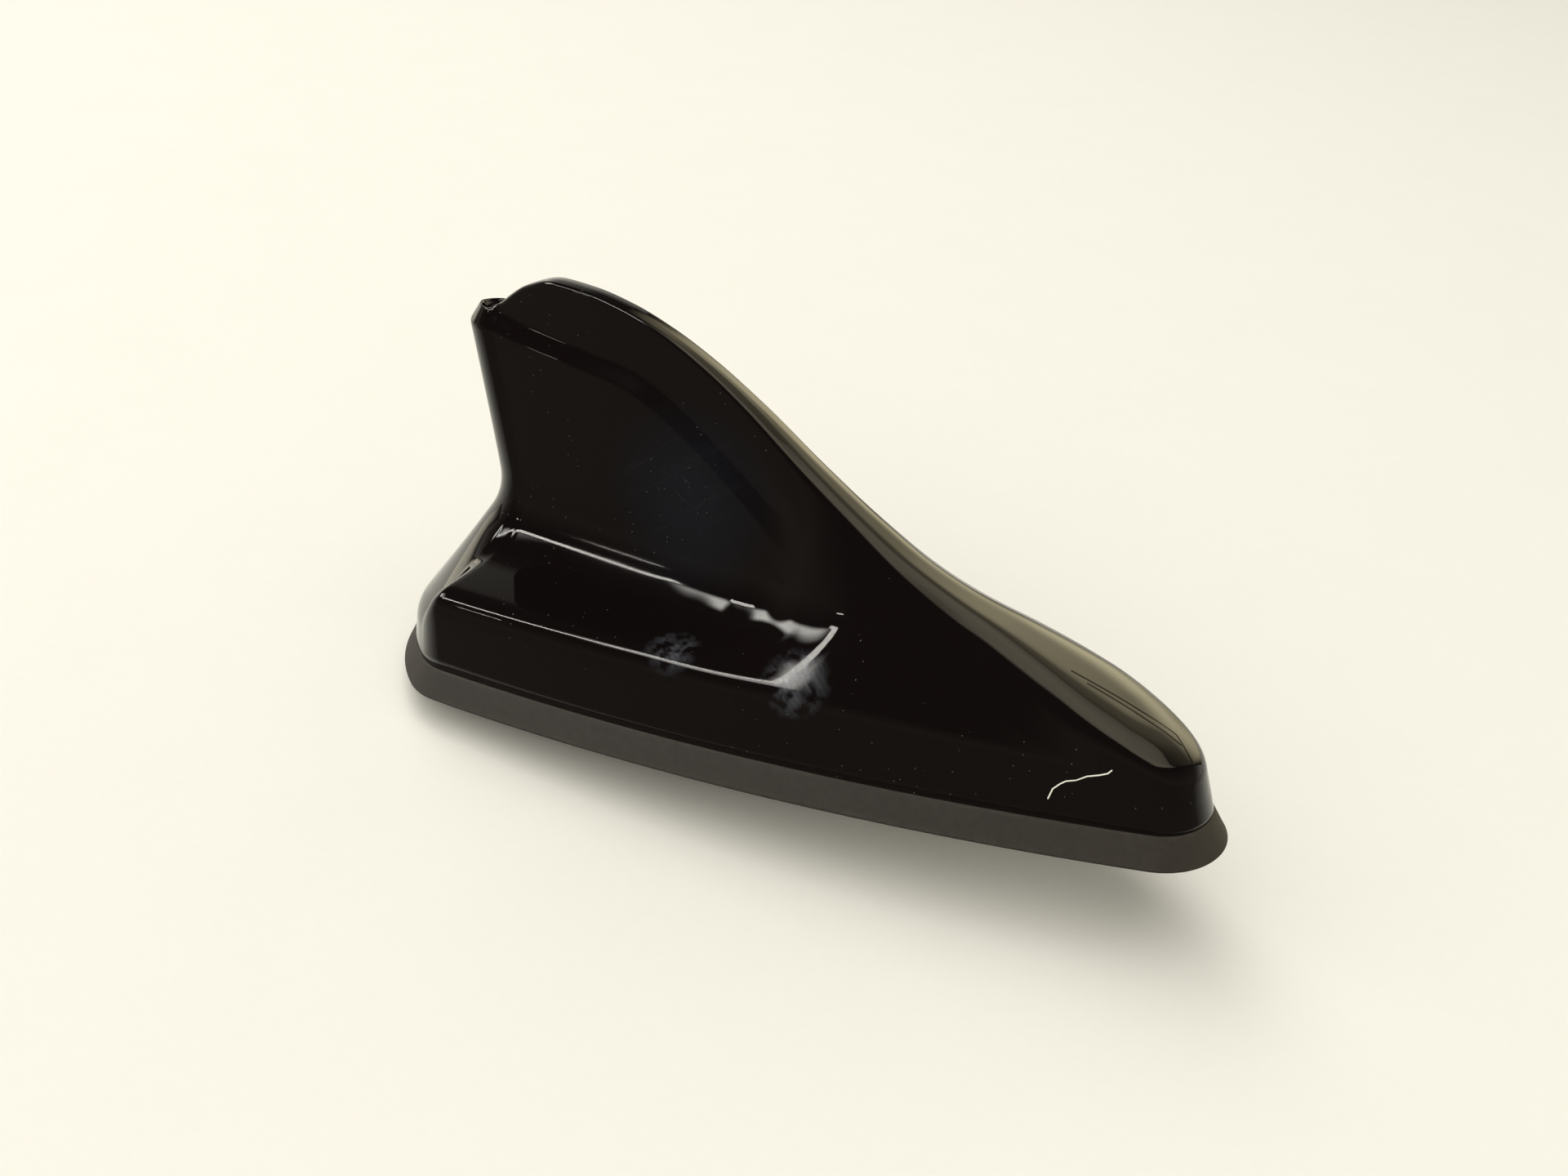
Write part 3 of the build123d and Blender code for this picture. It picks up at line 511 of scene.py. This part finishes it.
def smear_group():
    """Finger marks: a coarse noise cut at Level and softened, crossed by the fine wavy ridges of the skin."""
    group, enter, leave = new_group("finger smears", [("Scale", 420.0), ("Level", 0.42), ("Ridges", 430.0)], "Mask")
    swirl = add(group, "ShaderNodeTexNoise", detail=6.0, distortion=0.3)
    ridges = add(group, "ShaderNodeTexWave", bands_direction="DIAGONAL", distortion=9.0, detail=2.0)
    ridges.inputs["Detail Scale"].default_value = 0.15
    group.links.new(enter.outputs["Vector"], swirl.inputs["Vector"])
    group.links.new(enter.outputs["Vector"], ridges.inputs["Vector"])
    group.links.new(enter.outputs["Scale"], swirl.inputs["Scale"])
    group.links.new(enter.outputs["Ridges"], ridges.inputs["Scale"])
    over = math_node(group, "SUBTRACT", swirl.outputs["Fac"], enter.outputs["Level"])
    lines = math_node(group, "ADD", math_node(group, "MULTIPLY", ridges.outputs["Fac"], 0.25), 0.75)
    group.links.new(math_node(group, "MULTIPLY", ramp(group, over, 0.0, 0.16), lines), leave.inputs["Mask"])
    return group


def grain_group():
    """Two noises, one twelve times as fine as the other, added in the share Fine."""
    group, enter, leave = new_group("grain", [("Scale", 300.0), ("Fine", 0.5)], "Value")
    coarse, fine = [add(group, "ShaderNodeTexNoise", detail=4.0) for _ in range(2)]
    group.links.new(enter.outputs["Vector"], coarse.inputs["Vector"])
    group.links.new(enter.outputs["Vector"], fine.inputs["Vector"])
    group.links.new(enter.outputs["Scale"], coarse.inputs["Scale"])
    group.links.new(math_node(group, "MULTIPLY", enter.outputs["Scale"], 12.0), fine.inputs["Scale"])
    blend = add(group, "ShaderNodeMix", data_type="FLOAT")
    group.links.new(enter.outputs["Fine"], blend.inputs[0])
    group.links.new(coarse.outputs["Fac"], blend.inputs[2])
    group.links.new(fine.outputs["Fac"], blend.inputs[3])
    group.links.new(blend.outputs[0], leave.inputs["Value"])
    return group


DUST, HAIRLINES, SMEARS, GRAIN = dust_group(), hairline_group(), smear_group(), grain_group()
print("groups:", [g.name for g in (DUST, HAIRLINES, SMEARS, GRAIN)])

# %% [markdown]
# ## Gloss black
#
# The cover is polished black plastic. It is nearly black by itself, so what shows is what it reflects, and that is
# weak face on and strong at a glancing view, which Layer Weight sets. Dust adds grey specks, two smears roughen the
# gloss where fingers held it, and the panel is a little duller than the rest. Marks that have a place of their own
# are strokes between points: a pale fibre, two scuffs along the hood and two scratches. A very slight wave in the
# normal keeps long reflections from looking ruled. The cover has no shine in its own reflections, because a bright
# line would show twice on the shelf: Light Path takes it away for a ray that comes from a reflection.

# %% Gloss black material
def new_material(name):
    """A material with its Principled shader and the Object coordinates that its patterns read."""
    material = bpy.data.materials.new(name)
    material.use_nodes = True
    tree = material.node_tree
    shader = tree.nodes["Principled BSDF"]
    where = tree.nodes.new("ShaderNodeTexCoord").outputs["Object"]
    return material, tree, shader, where


def use(tree, group, where, **values):
    """A node of this group on these coordinates, with its float inputs set by name. Gives its output."""
    node = tree.nodes.new("ShaderNodeGroup")
    node.node_tree = group
    tree.links.new(where, node.inputs["Vector"])
    for key, value in values.items():
        node.inputs[key.capitalize()].default_value = value
    return node.outputs[0]


def near(tree, where, centre, radius):
    """A soft mask round one place on the object, given in millimetres."""
    away = add(tree, "ShaderNodeVectorMath", operation="DISTANCE")
    tree.links.new(where, away.inputs[0])
    away.inputs[1].default_value = [c * MM for c in centre]
    return ramp(tree, away.outputs["Value"], radius * MM, 0.3 * radius * MM)


def colour_mix(tree, share, first, second):
    """Blends two colours by a share. A colour is a socket or three linear values."""
    node = add(tree, "ShaderNodeMix", data_type="RGBA")
    tree.links.new(share, node.inputs[0])
    for socket, value in ((node.inputs[6], first), (node.inputs[7], second)):
        if isinstance(value, tuple):
            socket.default_value = (*value, 1.0)
        else:
            tree.links.new(value, socket)
    return node.outputs[2]


# A pale fibre near the nose, two dark scuffs along the hood and two scratches on the panel, in millimetres
FIBRE = [(56.9, -13.5, 8.8), (57.4, -13.15, 10.6), (58.4, -12.7, 11.7), (59.2, -12.4, 12.3), (60.6, -11.8, 12.7),
         (62.1, -11.25, 13.65), (63.8, -10.5, 14.1), (64.9, -10.0, 14.5), (65.4, -9.7, 15.1)]
SCUFFS = [[(54.0, -1.6, 25.2), (63.0, 0.2, 21.6), (71.1, 1.5, 17.7), (74.8, -0.6, 15.2)],
          [(57.0, -1.9, 24.1), (64.0, -0.7, 21.2), (72.5, 0.3, 17.0)]]
SCRATCHES = [[(-21.5, -6.0, 44.0), (-16.5, -6.0, 40.2)], [(-25.0, -6.1, 41.5), (-15.8, -6.3, 36.2)]]
FIBRE_WIDTH, SCUFF_WIDTH, SCRATCH_WIDTH = 0.26, 0.5, 0.12

# Where the two smears, the dull panel, its bluish bloom and its hairlines lie: a middle and a radius, in millimetres
RIGHT_TOUCH, LEFT_TOUCH = ((14.4, -21.0, 19.6), 6.5), ((-8.4, -24.2, 20.2), 5.2)
DULL_PANEL, PANEL_BLOOM, PANEL_HAIRS = ((-30, 0, 38), 25), ((-18, -6, 38), 18), ((-20, -6, 38), 18)

# Colours of the marks, how much of each shows, what they do to the roughness, and the shine
BLACK, BLOOM_TINT, SMEAR_TINT = (0.0050, 0.0036, 0.0035), (0.0085, 0.0105, 0.0155), (0.058, 0.061, 0.072)
HAIR_TINT, DUST_TINT, FIBRE_TINT = (0.20, 0.20, 0.23), (0.30, 0.28, 0.25), (0.80, 0.78, 0.72)
HAIRLINE_SHARE, HAIR_COVER, DUST_COVER = 0.15, 0.10, 0.22
POLISH, SMEAR_ROUGH, DUST_ROUGH, PANEL_ROUGH = 0.03, 0.12, 0.4, 0.16
FACE_SHINE, GLANCE_SHINE, GLANCE, SCUFF_LOSS = 0.035, 0.40, (0.36, 0.66), 0.85
WAVE_SCALE, WAVE_STRENGTH, WAVE_DEPTH = 42.0, 0.006, 0.002


def stroke(tree, where, start, end, width):
    """A mask along a short straight line: 1 where the surface is within half the width of it, in millimetres."""
    a, b = Vector(start) * MM, Vector(end) * MM
    from_start = add(tree, "ShaderNodeVectorMath", operation="SUBTRACT")
    tree.links.new(where, from_start.inputs[0])
    from_start.inputs[1].default_value = a
    reach = add(tree, "ShaderNodeVectorMath", operation="DOT_PRODUCT")
    tree.links.new(from_start.outputs["Vector"], reach.inputs[0])
    reach.inputs[1].default_value = (b - a) / (b - a).length_squared
    share = ramp(tree, reach.outputs["Value"], 0.0, 1.0)
    along_line = add(tree, "ShaderNodeVectorMath", operation="SCALE")
    along_line.inputs[0].default_value = b - a
    tree.links.new(share, along_line.inputs["Scale"])
    gap = add(tree, "ShaderNodeVectorMath", operation="DISTANCE")
    tree.links.new(from_start.outputs["Vector"], gap.inputs[0])
    tree.links.new(along_line.outputs["Vector"], gap.inputs[1])
    return ramp(tree, gap.outputs["Value"], 0.5 * width * MM, 0.35 * width * MM)


def strokes(tree, where, points, width):
    """A mask along a line of several points: the greatest of its strokes."""
    masks = [stroke(tree, where, a, b, width) for a, b in zip(points, points[1:])]
    total = masks[0]
    for mask in masks[1:]:
        total = math_node(tree, "MAXIMUM", total, mask)
    return total


def share_of(tree, mask, value):
    """A mask made weaker: the mask times a value."""
    return math_node(tree, "MULTIPLY", mask, value)


def gloss_black():
    """Black base, weak clear reflection, and on it dust, smears, hairlines, scratches, scuffs and one fibre."""
    material, tree, shader, where = new_material("gloss black")
    dust = use(tree, DUST, where)
    touched = math_node(tree, "MAXIMUM", near(tree, where, *RIGHT_TOUCH), near(tree, where, *LEFT_TOUCH))
    smear = math_node(tree, "MULTIPLY", use(tree, SMEARS, where), touched)
    satin = near(tree, where, *DULL_PANEL)
    bloom = math_node(tree, "MULTIPLY", near(tree, where, *PANEL_BLOOM), use(tree, GRAIN, where, scale=90.0))
    hair = math_node(tree, "MULTIPLY", use(tree, HAIRLINES, where), near(tree, where, *PANEL_HAIRS))
    hair = share_of(tree, hair, HAIRLINE_SHARE)
    for points in SCRATCHES:
        hair = math_node(tree, "MAXIMUM", hair, strokes(tree, where, points, SCRATCH_WIDTH))
    scuff = math_node(tree, "MAXIMUM", *[strokes(tree, where, points, SCUFF_WIDTH) for points in SCUFFS])
    body = colour_mix(tree, bloom, BLACK, BLOOM_TINT)
    body = colour_mix(tree, smear, body, SMEAR_TINT)
    body = colour_mix(tree, share_of(tree, hair, HAIR_COVER), body, HAIR_TINT)
    body = colour_mix(tree, share_of(tree, dust, DUST_COVER), body, DUST_TINT)
    body = colour_mix(tree, strokes(tree, where, FIBRE, FIBRE_WIDTH), body, FIBRE_TINT)
    tree.links.new(body, shader.inputs["Base Color"])
    facing = tree.nodes.new("ShaderNodeLayerWeight").outputs["Facing"]
    shine = math_node(tree, "ADD", FACE_SHINE, share_of(tree, ramp(tree, facing, *GLANCE), GLANCE_SHINE))
    shine = math_node(tree, "MULTIPLY", shine, math_node(tree, "SUBTRACT", 1.0, share_of(tree, scuff, SCUFF_LOSS)))
    second = tree.nodes.new("ShaderNodeLightPath").outputs["Is Glossy Ray"]
    shine = math_node(tree, "MULTIPLY", shine, math_node(tree, "SUBTRACT", 1.0, second))
    tree.links.new(shine, shader.inputs["Specular IOR Level"])
    rough = math_node(tree, "ADD", share_of(tree, smear, SMEAR_ROUGH), share_of(tree, dust, DUST_ROUGH))
    rough = math_node(tree, "ADD", rough, share_of(tree, satin, PANEL_ROUGH))
    tree.links.new(math_node(tree, "ADD", rough, POLISH), shader.inputs["Roughness"])
    wave = add(tree, "ShaderNodeTexNoise", scale=WAVE_SCALE, detail=1.0)
    tree.links.new(where, wave.inputs["Vector"])
    bump = add(tree, "ShaderNodeBump", strength=WAVE_STRENGTH, distance=WAVE_DEPTH)
    tree.links.new(wave.outputs["Fac"], bump.inputs["Height"])
    tree.links.new(bump.outputs["Normal"], shader.inputs["Normal"])
    return material


# %% [markdown]
# ## The other finishes
#
# Rubber, castings, sheet metal, plastic, laminate, ceramic and wire differ in four things: two colours that the
# grain blends, how rough and how metallic they are, and how deep the grain is. So one function makes them all from
# a short list, which is easier to compare by eye than sixteen hand-made materials.

# %% Finishes by slot
# Each finish: dark colour, pale colour, roughness, metallic, grain scale per metre, bump depth in mm
FINISHES = {
    "gasket_rubber": ((0.0138, 0.0110, 0.0086), (0.0230, 0.0190, 0.0154), 0.72, 0.0, 700.0, 0.05),
    "seal_rubber": ((0.020, 0.020, 0.021), (0.035, 0.034, 0.034), 0.70, 0.0, 500.0, 0.05),
    "die_cast": ((0.30, 0.30, 0.31), (0.46, 0.46, 0.46), 0.48, 0.9, 380.0, 0.08),
    "zinc_steel": ((0.50, 0.50, 0.52), (0.66, 0.66, 0.65), 0.30, 1.0, 900.0, 0.02),
    "spring_steel": ((0.30, 0.31, 0.33), (0.42, 0.42, 0.43), 0.34, 1.0, 600.0, 0.02),
    "jack_plastic": ((0.10, 0.16, 0.10), (0.13, 0.20, 0.12), 0.42, 0.0, 450.0, 0.03),
    "contact_brass": ((0.62, 0.42, 0.16), (0.75, 0.55, 0.24), 0.26, 1.0, 700.0, 0.01),
    "board_laminate": ((0.018, 0.085, 0.040), (0.030, 0.12, 0.055), 0.36, 0.0, 260.0, 0.02),
    "tinned_sheet": ((0.58, 0.58, 0.58), (0.72, 0.72, 0.70), 0.32, 1.0, 320.0, 0.02),
    "chip_resin": ((0.012, 0.012, 0.013), (0.024, 0.024, 0.025), 0.50, 0.0, 1200.0, 0.02),
    "pad_foam": ((0.30, 0.30, 0.29), (0.44, 0.44, 0.42), 0.85, 0.0, 1500.0, 0.10),
    "patch_ceramic": ((0.56, 0.50, 0.40), (0.66, 0.60, 0.49), 0.55, 0.0, 800.0, 0.03),
    "patch_silver": ((0.70, 0.69, 0.66), (0.82, 0.81, 0.78), 0.40, 1.0, 900.0, 0.02),
    "holder_plastic": ((0.55, 0.54, 0.50), (0.66, 0.65, 0.60), 0.45, 0.0, 420.0, 0.03),
    "ferrite": ((0.030, 0.029, 0.030), (0.055, 0.053, 0.052), 0.60, 0.0, 900.0, 0.05),
    "copper_wire": ((0.52, 0.20, 0.09), (0.68, 0.29, 0.13), 0.28, 1.0, 1400.0, 0.04),
}
GRAIN_SPAN, ROUGH_SWING, RUBBER_SHINE = (0.3, 0.7), 0.2, 0.13


def finish(name, dark, pale, roughness, metallic, scale, depth):
    """A material that blends two colours by the grain, with the same grain in its roughness and its bump."""
    material, tree, shader, where = new_material(name)
    shader.inputs["Metallic"].default_value = metallic
    value = use(tree, GRAIN, where, scale=scale)
    tree.links.new(colour_mix(tree, ramp(tree, value, *GRAIN_SPAN), dark, pale), shader.inputs["Base Color"])
    rough = math_node(tree, "ADD", share_of(tree, value, ROUGH_SWING), roughness - ROUGH_SWING / 2)
    tree.links.new(rough, shader.inputs["Roughness"])
    bump = add(tree, "ShaderNodeBump", strength=0.5, distance=depth * MM)
    tree.links.new(value, bump.inputs["Height"])
    tree.links.new(bump.outputs["Normal"], shader.inputs["Normal"])
    return material


materials = {name: finish(name, *values) for name, values in FINISHES.items()}
rubber_shader = materials["gasket_rubber"].node_tree.nodes["Principled BSDF"]
rubber_shader.inputs["Specular IOR Level"].default_value = RUBBER_SHINE
materials["piano_black"] = gloss_black()
SLOTS = {
    "radome_cover": "piano_black", "base_gasket": "gasket_rubber", "stem_seal": "seal_rubber",
    "cover_seal": "seal_rubber", "base_plate": "die_cast", "cover_screws": "zinc_steel", "board_screws": "zinc_steel",
    "clamp_bolt": "zinc_steel", "clamp_claw": "spring_steel", "jack_housing": "jack_plastic",
    "jack_barrels": "contact_brass", "jack_pins": "contact_brass", "load_plates": "contact_brass",
    "feed_clips": "contact_brass", "main_board": "board_laminate", "fin_board": "board_laminate",
    "shield_cans": "tinned_sheet", "phone_radiator_rear": "tinned_sheet", "phone_radiator_front": "tinned_sheet",
    "amp_chips": "chip_resin", "nav_pad": "pad_foam", "nav_patch": "patch_ceramic", "nav_face": "patch_silver",
    "nav_pin": "patch_silver", "fin_holders": "holder_plastic", "choke_core": "ferrite",
    "choke_winding": "copper_wire",
}


def paint(obj, material):
    """Gives an object this one material, on the object itself, so that the shared mesh data stays as it was."""
    if not obj.material_slots:
        obj.data.materials.append(None)
    for place in obj.material_slots:
        place.link = "OBJECT"
        place.material = material


for name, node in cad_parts.items():
    paint(node, materials[SLOTS[name]])
paint(cover, materials["piano_black"])
paint(gasket, materials["gasket_rubber"])
print("finishes:", len(materials), "parts painted:", len(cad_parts) + 2)

# %% [markdown]
# ## Floor, light and camera
#
# The antenna lies loose on a pale table and rocks on its stem, so the table is a plane that tilts a little under
# it. A lamp from behind gives the soft shadow in front, and a broad one overhead fills it. What the gloss reflects is
# set up as in a product studio: a warm card behind the hood, one overhead for its near edge, one behind the rear, two
# rows of small ceiling lights that draw the long lines on the shelf, and two soft spots for the bend between them.
# The cards are seen only in reflections, so they don't change how bright the colours are.

# %% Floor
FLOOR_HEIGHT, FLOOR_TILT, FLOOR_SIZE = -11.05, -0.1, 4.0
FLOOR_COLOURS, FLOOR_ROUGHNESS = ((0.905, 0.898, 0.84), (0.945, 0.938, 0.885)), 0.75


def plane(name, corners):
    """A single quad through four corners, in metres."""
    mesh = bpy.data.meshes.new(name)
    mesh.from_pydata(corners, [], [(0, 1, 2, 3)])
    obj = bpy.data.objects.new(name, mesh)
    scene.collection.objects.link(obj)
    return obj


def floor_material():
    """A pale matt top: two near whites blended by the grain, with no shine that could mirror the cards."""
    material, tree, shader, where = new_material("pale table")
    value = use(tree, GRAIN, where, scale=40.0)
    tree.links.new(colour_mix(tree, value, *FLOOR_COLOURS), shader.inputs["Base Color"])
    shader.inputs["Roughness"].default_value = FLOOR_ROUGHNESS
    shader.inputs["Specular IOR Level"].default_value = 0.0
    return material


floor_half = FLOOR_SIZE / 2
floor_corners = [(floor_half * x, floor_half * y, FLOOR_HEIGHT * MM + FLOOR_TILT * floor_half * x)
                 for x, y in ((-1, -1), (1, -1), (1, 1), (-1, 1))]
floor = plane("table", floor_corners)
floor.data.materials.append(floor_material())

# %% Lamps and room
def aim(obj, target):
    """Turns an object's -Z axis to a target point."""
    obj.rotation_euler = (target - obj.location).to_track_quat("-Z", "Y").to_euler()


def lamp(name, place, size, energy, colour):
    """A square area lamp that points at the antenna and shows in no reflection."""
    data = bpy.data.lights.new(name, "AREA")
    data.size = size
    data.energy = energy
    data.color = colour
    obj = bpy.data.objects.new(name, data)
    obj.location = place
    scene.collection.objects.link(obj)
    aim(obj, Vector((0.0, 0.0, 0.02)))
    obj.visible_glossy = False
    return obj


lamp("window", (-1.3, 0.95, 2.0), 1.55, 16.0, (1.0, 0.97, 0.90))
lamp("ceiling", (-0.1, -0.6, 1.6), 3.2, 44.0, (1.0, 0.97, 0.91))

ROOM_SPAN, ROOM_COLOURS = (0.15, 0.62), ((1.25, 1.20, 1.04), (0.05, 0.047, 0.044))
world = bpy.data.worlds.new("room")
scene.world = world
world.use_nodes = True
sky = world.node_tree
height = sky.nodes.new("ShaderNodeSeparateXYZ")
sky.links.new(sky.nodes.new("ShaderNodeTexCoord").outputs["Generated"], height.inputs["Vector"])
room = colour_mix(sky, ramp(sky, height.outputs["Z"], *ROOM_SPAN), *ROOM_COLOURS)
sky.links.new(room, sky.nodes["Background"].inputs["Color"])

# %% Cards that only reflections see
def soft_edge(tree, value, centre, half):
    """1 in the middle of a span and 0 at its ends, with a smooth fall over the outer two thirds."""
    off = math_node(tree, "ABSOLUTE", math_node(tree, "SUBTRACT", value, centre), 0.0)
    fall = add(tree, "ShaderNodeMapRange", interpolation_type="SMOOTHSTEP")
    fall.inputs["From Min"].default_value = half
    fall.inputs["From Max"].default_value = half / 3
    tree.links.new(off, fall.inputs["Value"])
    return fall.outputs["Result"]


def soft_spot(axes, centre, half):
    """A shape that is full in the middle of a card and fades along two axes, from its centre and half size."""
    def shape(tree, place):
        """The product of the soft edges along both axes."""
        return math_node(tree, "MULTIPLY", soft_edge(tree, place[axes[0]], centre[0], half[0]),
                         soft_edge(tree, place[axes[1]], centre[1], half[1]))
    return shape


def dotted(per_metre):
    """A shape of small lamps in a row: the upper part of a sine along X, this many to the metre."""
    def shape(tree, place):
        """The sine of the place along X, clipped at both ends."""
        wave = math_node(tree, "SINE", math_node(tree, "MULTIPLY", place["X"], per_metre * 2 * math.pi), 0.0)
        return ramp(tree, wave, -0.6, 0.5)
    return shape


def window_glow(tree, place):
    """A shape that starts softly overhead, is full above the hood and fades downwards and to both sides."""
    start = ramp(tree, place["Y"], 0.35, 0.68)
    end = ramp(tree, place["Y"], 1.75, 0.85)
    height = math_node(tree, "MULTIPLY", start, end)
    return math_node(tree, "MULTIPLY", height, soft_edge(tree, place["X"], 0.25, 0.7))


def overhead_glow(tree, place):
    """A shape that ends softly towards the room and the rear, and falls to the window's own level beside it."""
    start = math_node(tree, "MULTIPLY", ramp(tree, place["Y"], -0.14, 0.02), ramp(tree, place["X"], -0.2, 0.0))
    return math_node(tree, "MULTIPLY", start, ramp(tree, place["Y"], 0.9, 0.3))


def glow(name, colour, strength, shape):
    """An emitting material: the strength times a shape, which is read from the place on the card in metres."""
    material = bpy.data.materials.new(name)
    material.use_nodes = True
    tree = material.node_tree
    tree.nodes.remove(tree.nodes["Principled BSDF"])
    light = add(tree, "ShaderNodeEmission", color=(*colour, 1.0))
    tree.links.new(light.outputs["Emission"], tree.nodes["Material Output"].inputs["Surface"])
    place = tree.nodes.new("ShaderNodeSeparateXYZ")
    tree.links.new(tree.nodes.new("ShaderNodeTexCoord").outputs["Object"], place.inputs["Vector"])
    tree.links.new(math_node(tree, "MULTIPLY", shape(tree, place.outputs), strength), light.inputs["Strength"])
    return material


def card(name, centre, across, up, material):
    """A flat card round a centre, spanned by two half-side vectors, hidden from all rays but reflections."""
    c, a, b = [np.array(v, float) for v in (centre, across, up)]
    obj = plane(name, [tuple(c - a - b), tuple(c + a - b), tuple(c + a + b), tuple(c - a + b)])
    obj.data.materials.append(material)
    obj.visible_camera = False
    obj.visible_diffuse = False
    obj.visible_transmission = False
    obj.visible_shadow = False
    return obj


def soft_card(name, strength, colour, spot, half, height):
    """A level card with a soft spot of light that fills it, at this height in metres."""
    light = glow(name, colour, strength, soft_spot("XY", spot, half))
    return card("row " + name, (*spot, height), (half[0], 0.0, 0.0), (0.0, half[1], 0.0), light)


LAMP_COLOUR = (1.0, 0.97, 0.90)
warm = glow("warm", (1.0, 0.89, 0.57), 7.0, window_glow)
card("warm card", (0.25, 1.0, 0.62), (0.7, 0.0, 0.0), (0.0, 0.62, -0.58), warm)
overhead = glow("overhead", (1.0, 0.90, 0.66), 20.0, overhead_glow)
card("overhead card", (0.40, 0.26, 1.0), (0.60, 0.0, 0.0), (0.0, 0.40, 0.0), overhead)
rear = glow("rear", (1.0, 0.93, 0.74), 2.0, soft_spot("YZ", (0.42, 0.24), (0.7, 0.34)))
card("rear card", (-1.4, 0.42, 0.24), (0.0, 0.7, 0.0), (0.0, 0.0, 0.34), rear)
row = glow("row", LAMP_COLOUR, 260.0, dotted(500.0))
card("row one", (-0.68, -0.535, 1.2), (0.46, 0.165, 0.0), (0.0, 0.06, 0.0), row)
card("row two", (-0.90, -1.056, 0.88), (0.07, 0.017, 0.0), (0.0, 0.014, 0.014), row)
soft_card("turn", 75.0, LAMP_COLOUR, (-0.48, -0.54), (0.28, 0.24), 1.22)
soft_card("bend", 95.0, LAMP_COLOUR, (-1.33, -0.34), (0.36, 0.34), 1.21)

# %% Camera
CAMERA_AZIMUTH, CAMERA_ELEVATION = math.radians(33.889), math.radians(27.859)
CAMERA_DISTANCE, CAMERA_LENS = 307.876, 38.89
AIM_RIGHT, AIM_UP = -1.702, 20.737
back = Vector((math.sin(CAMERA_AZIMUTH) * math.cos(CAMERA_ELEVATION),
               -math.cos(CAMERA_AZIMUTH) * math.cos(CAMERA_ELEVATION), math.sin(CAMERA_ELEVATION)))
right = Vector((math.cos(CAMERA_AZIMUTH), math.sin(CAMERA_AZIMUTH), 0.0))
up = back.cross(right)
camera = bpy.data.objects.new("camera", bpy.data.cameras.new("camera"))
camera.data.lens = CAMERA_LENS
camera.data.sensor_width = 36.0
camera.data.clip_start = 0.01
camera.location = (right * AIM_RIGHT + up * AIM_UP + back * CAMERA_DISTANCE) * MM
camera.rotation_euler = Matrix((right, up, back)).transposed().to_euler()
scene.collection.objects.link(camera)
scene.camera = camera
print("camera at, mm:", [round(v / MM, 1) for v in camera.location])
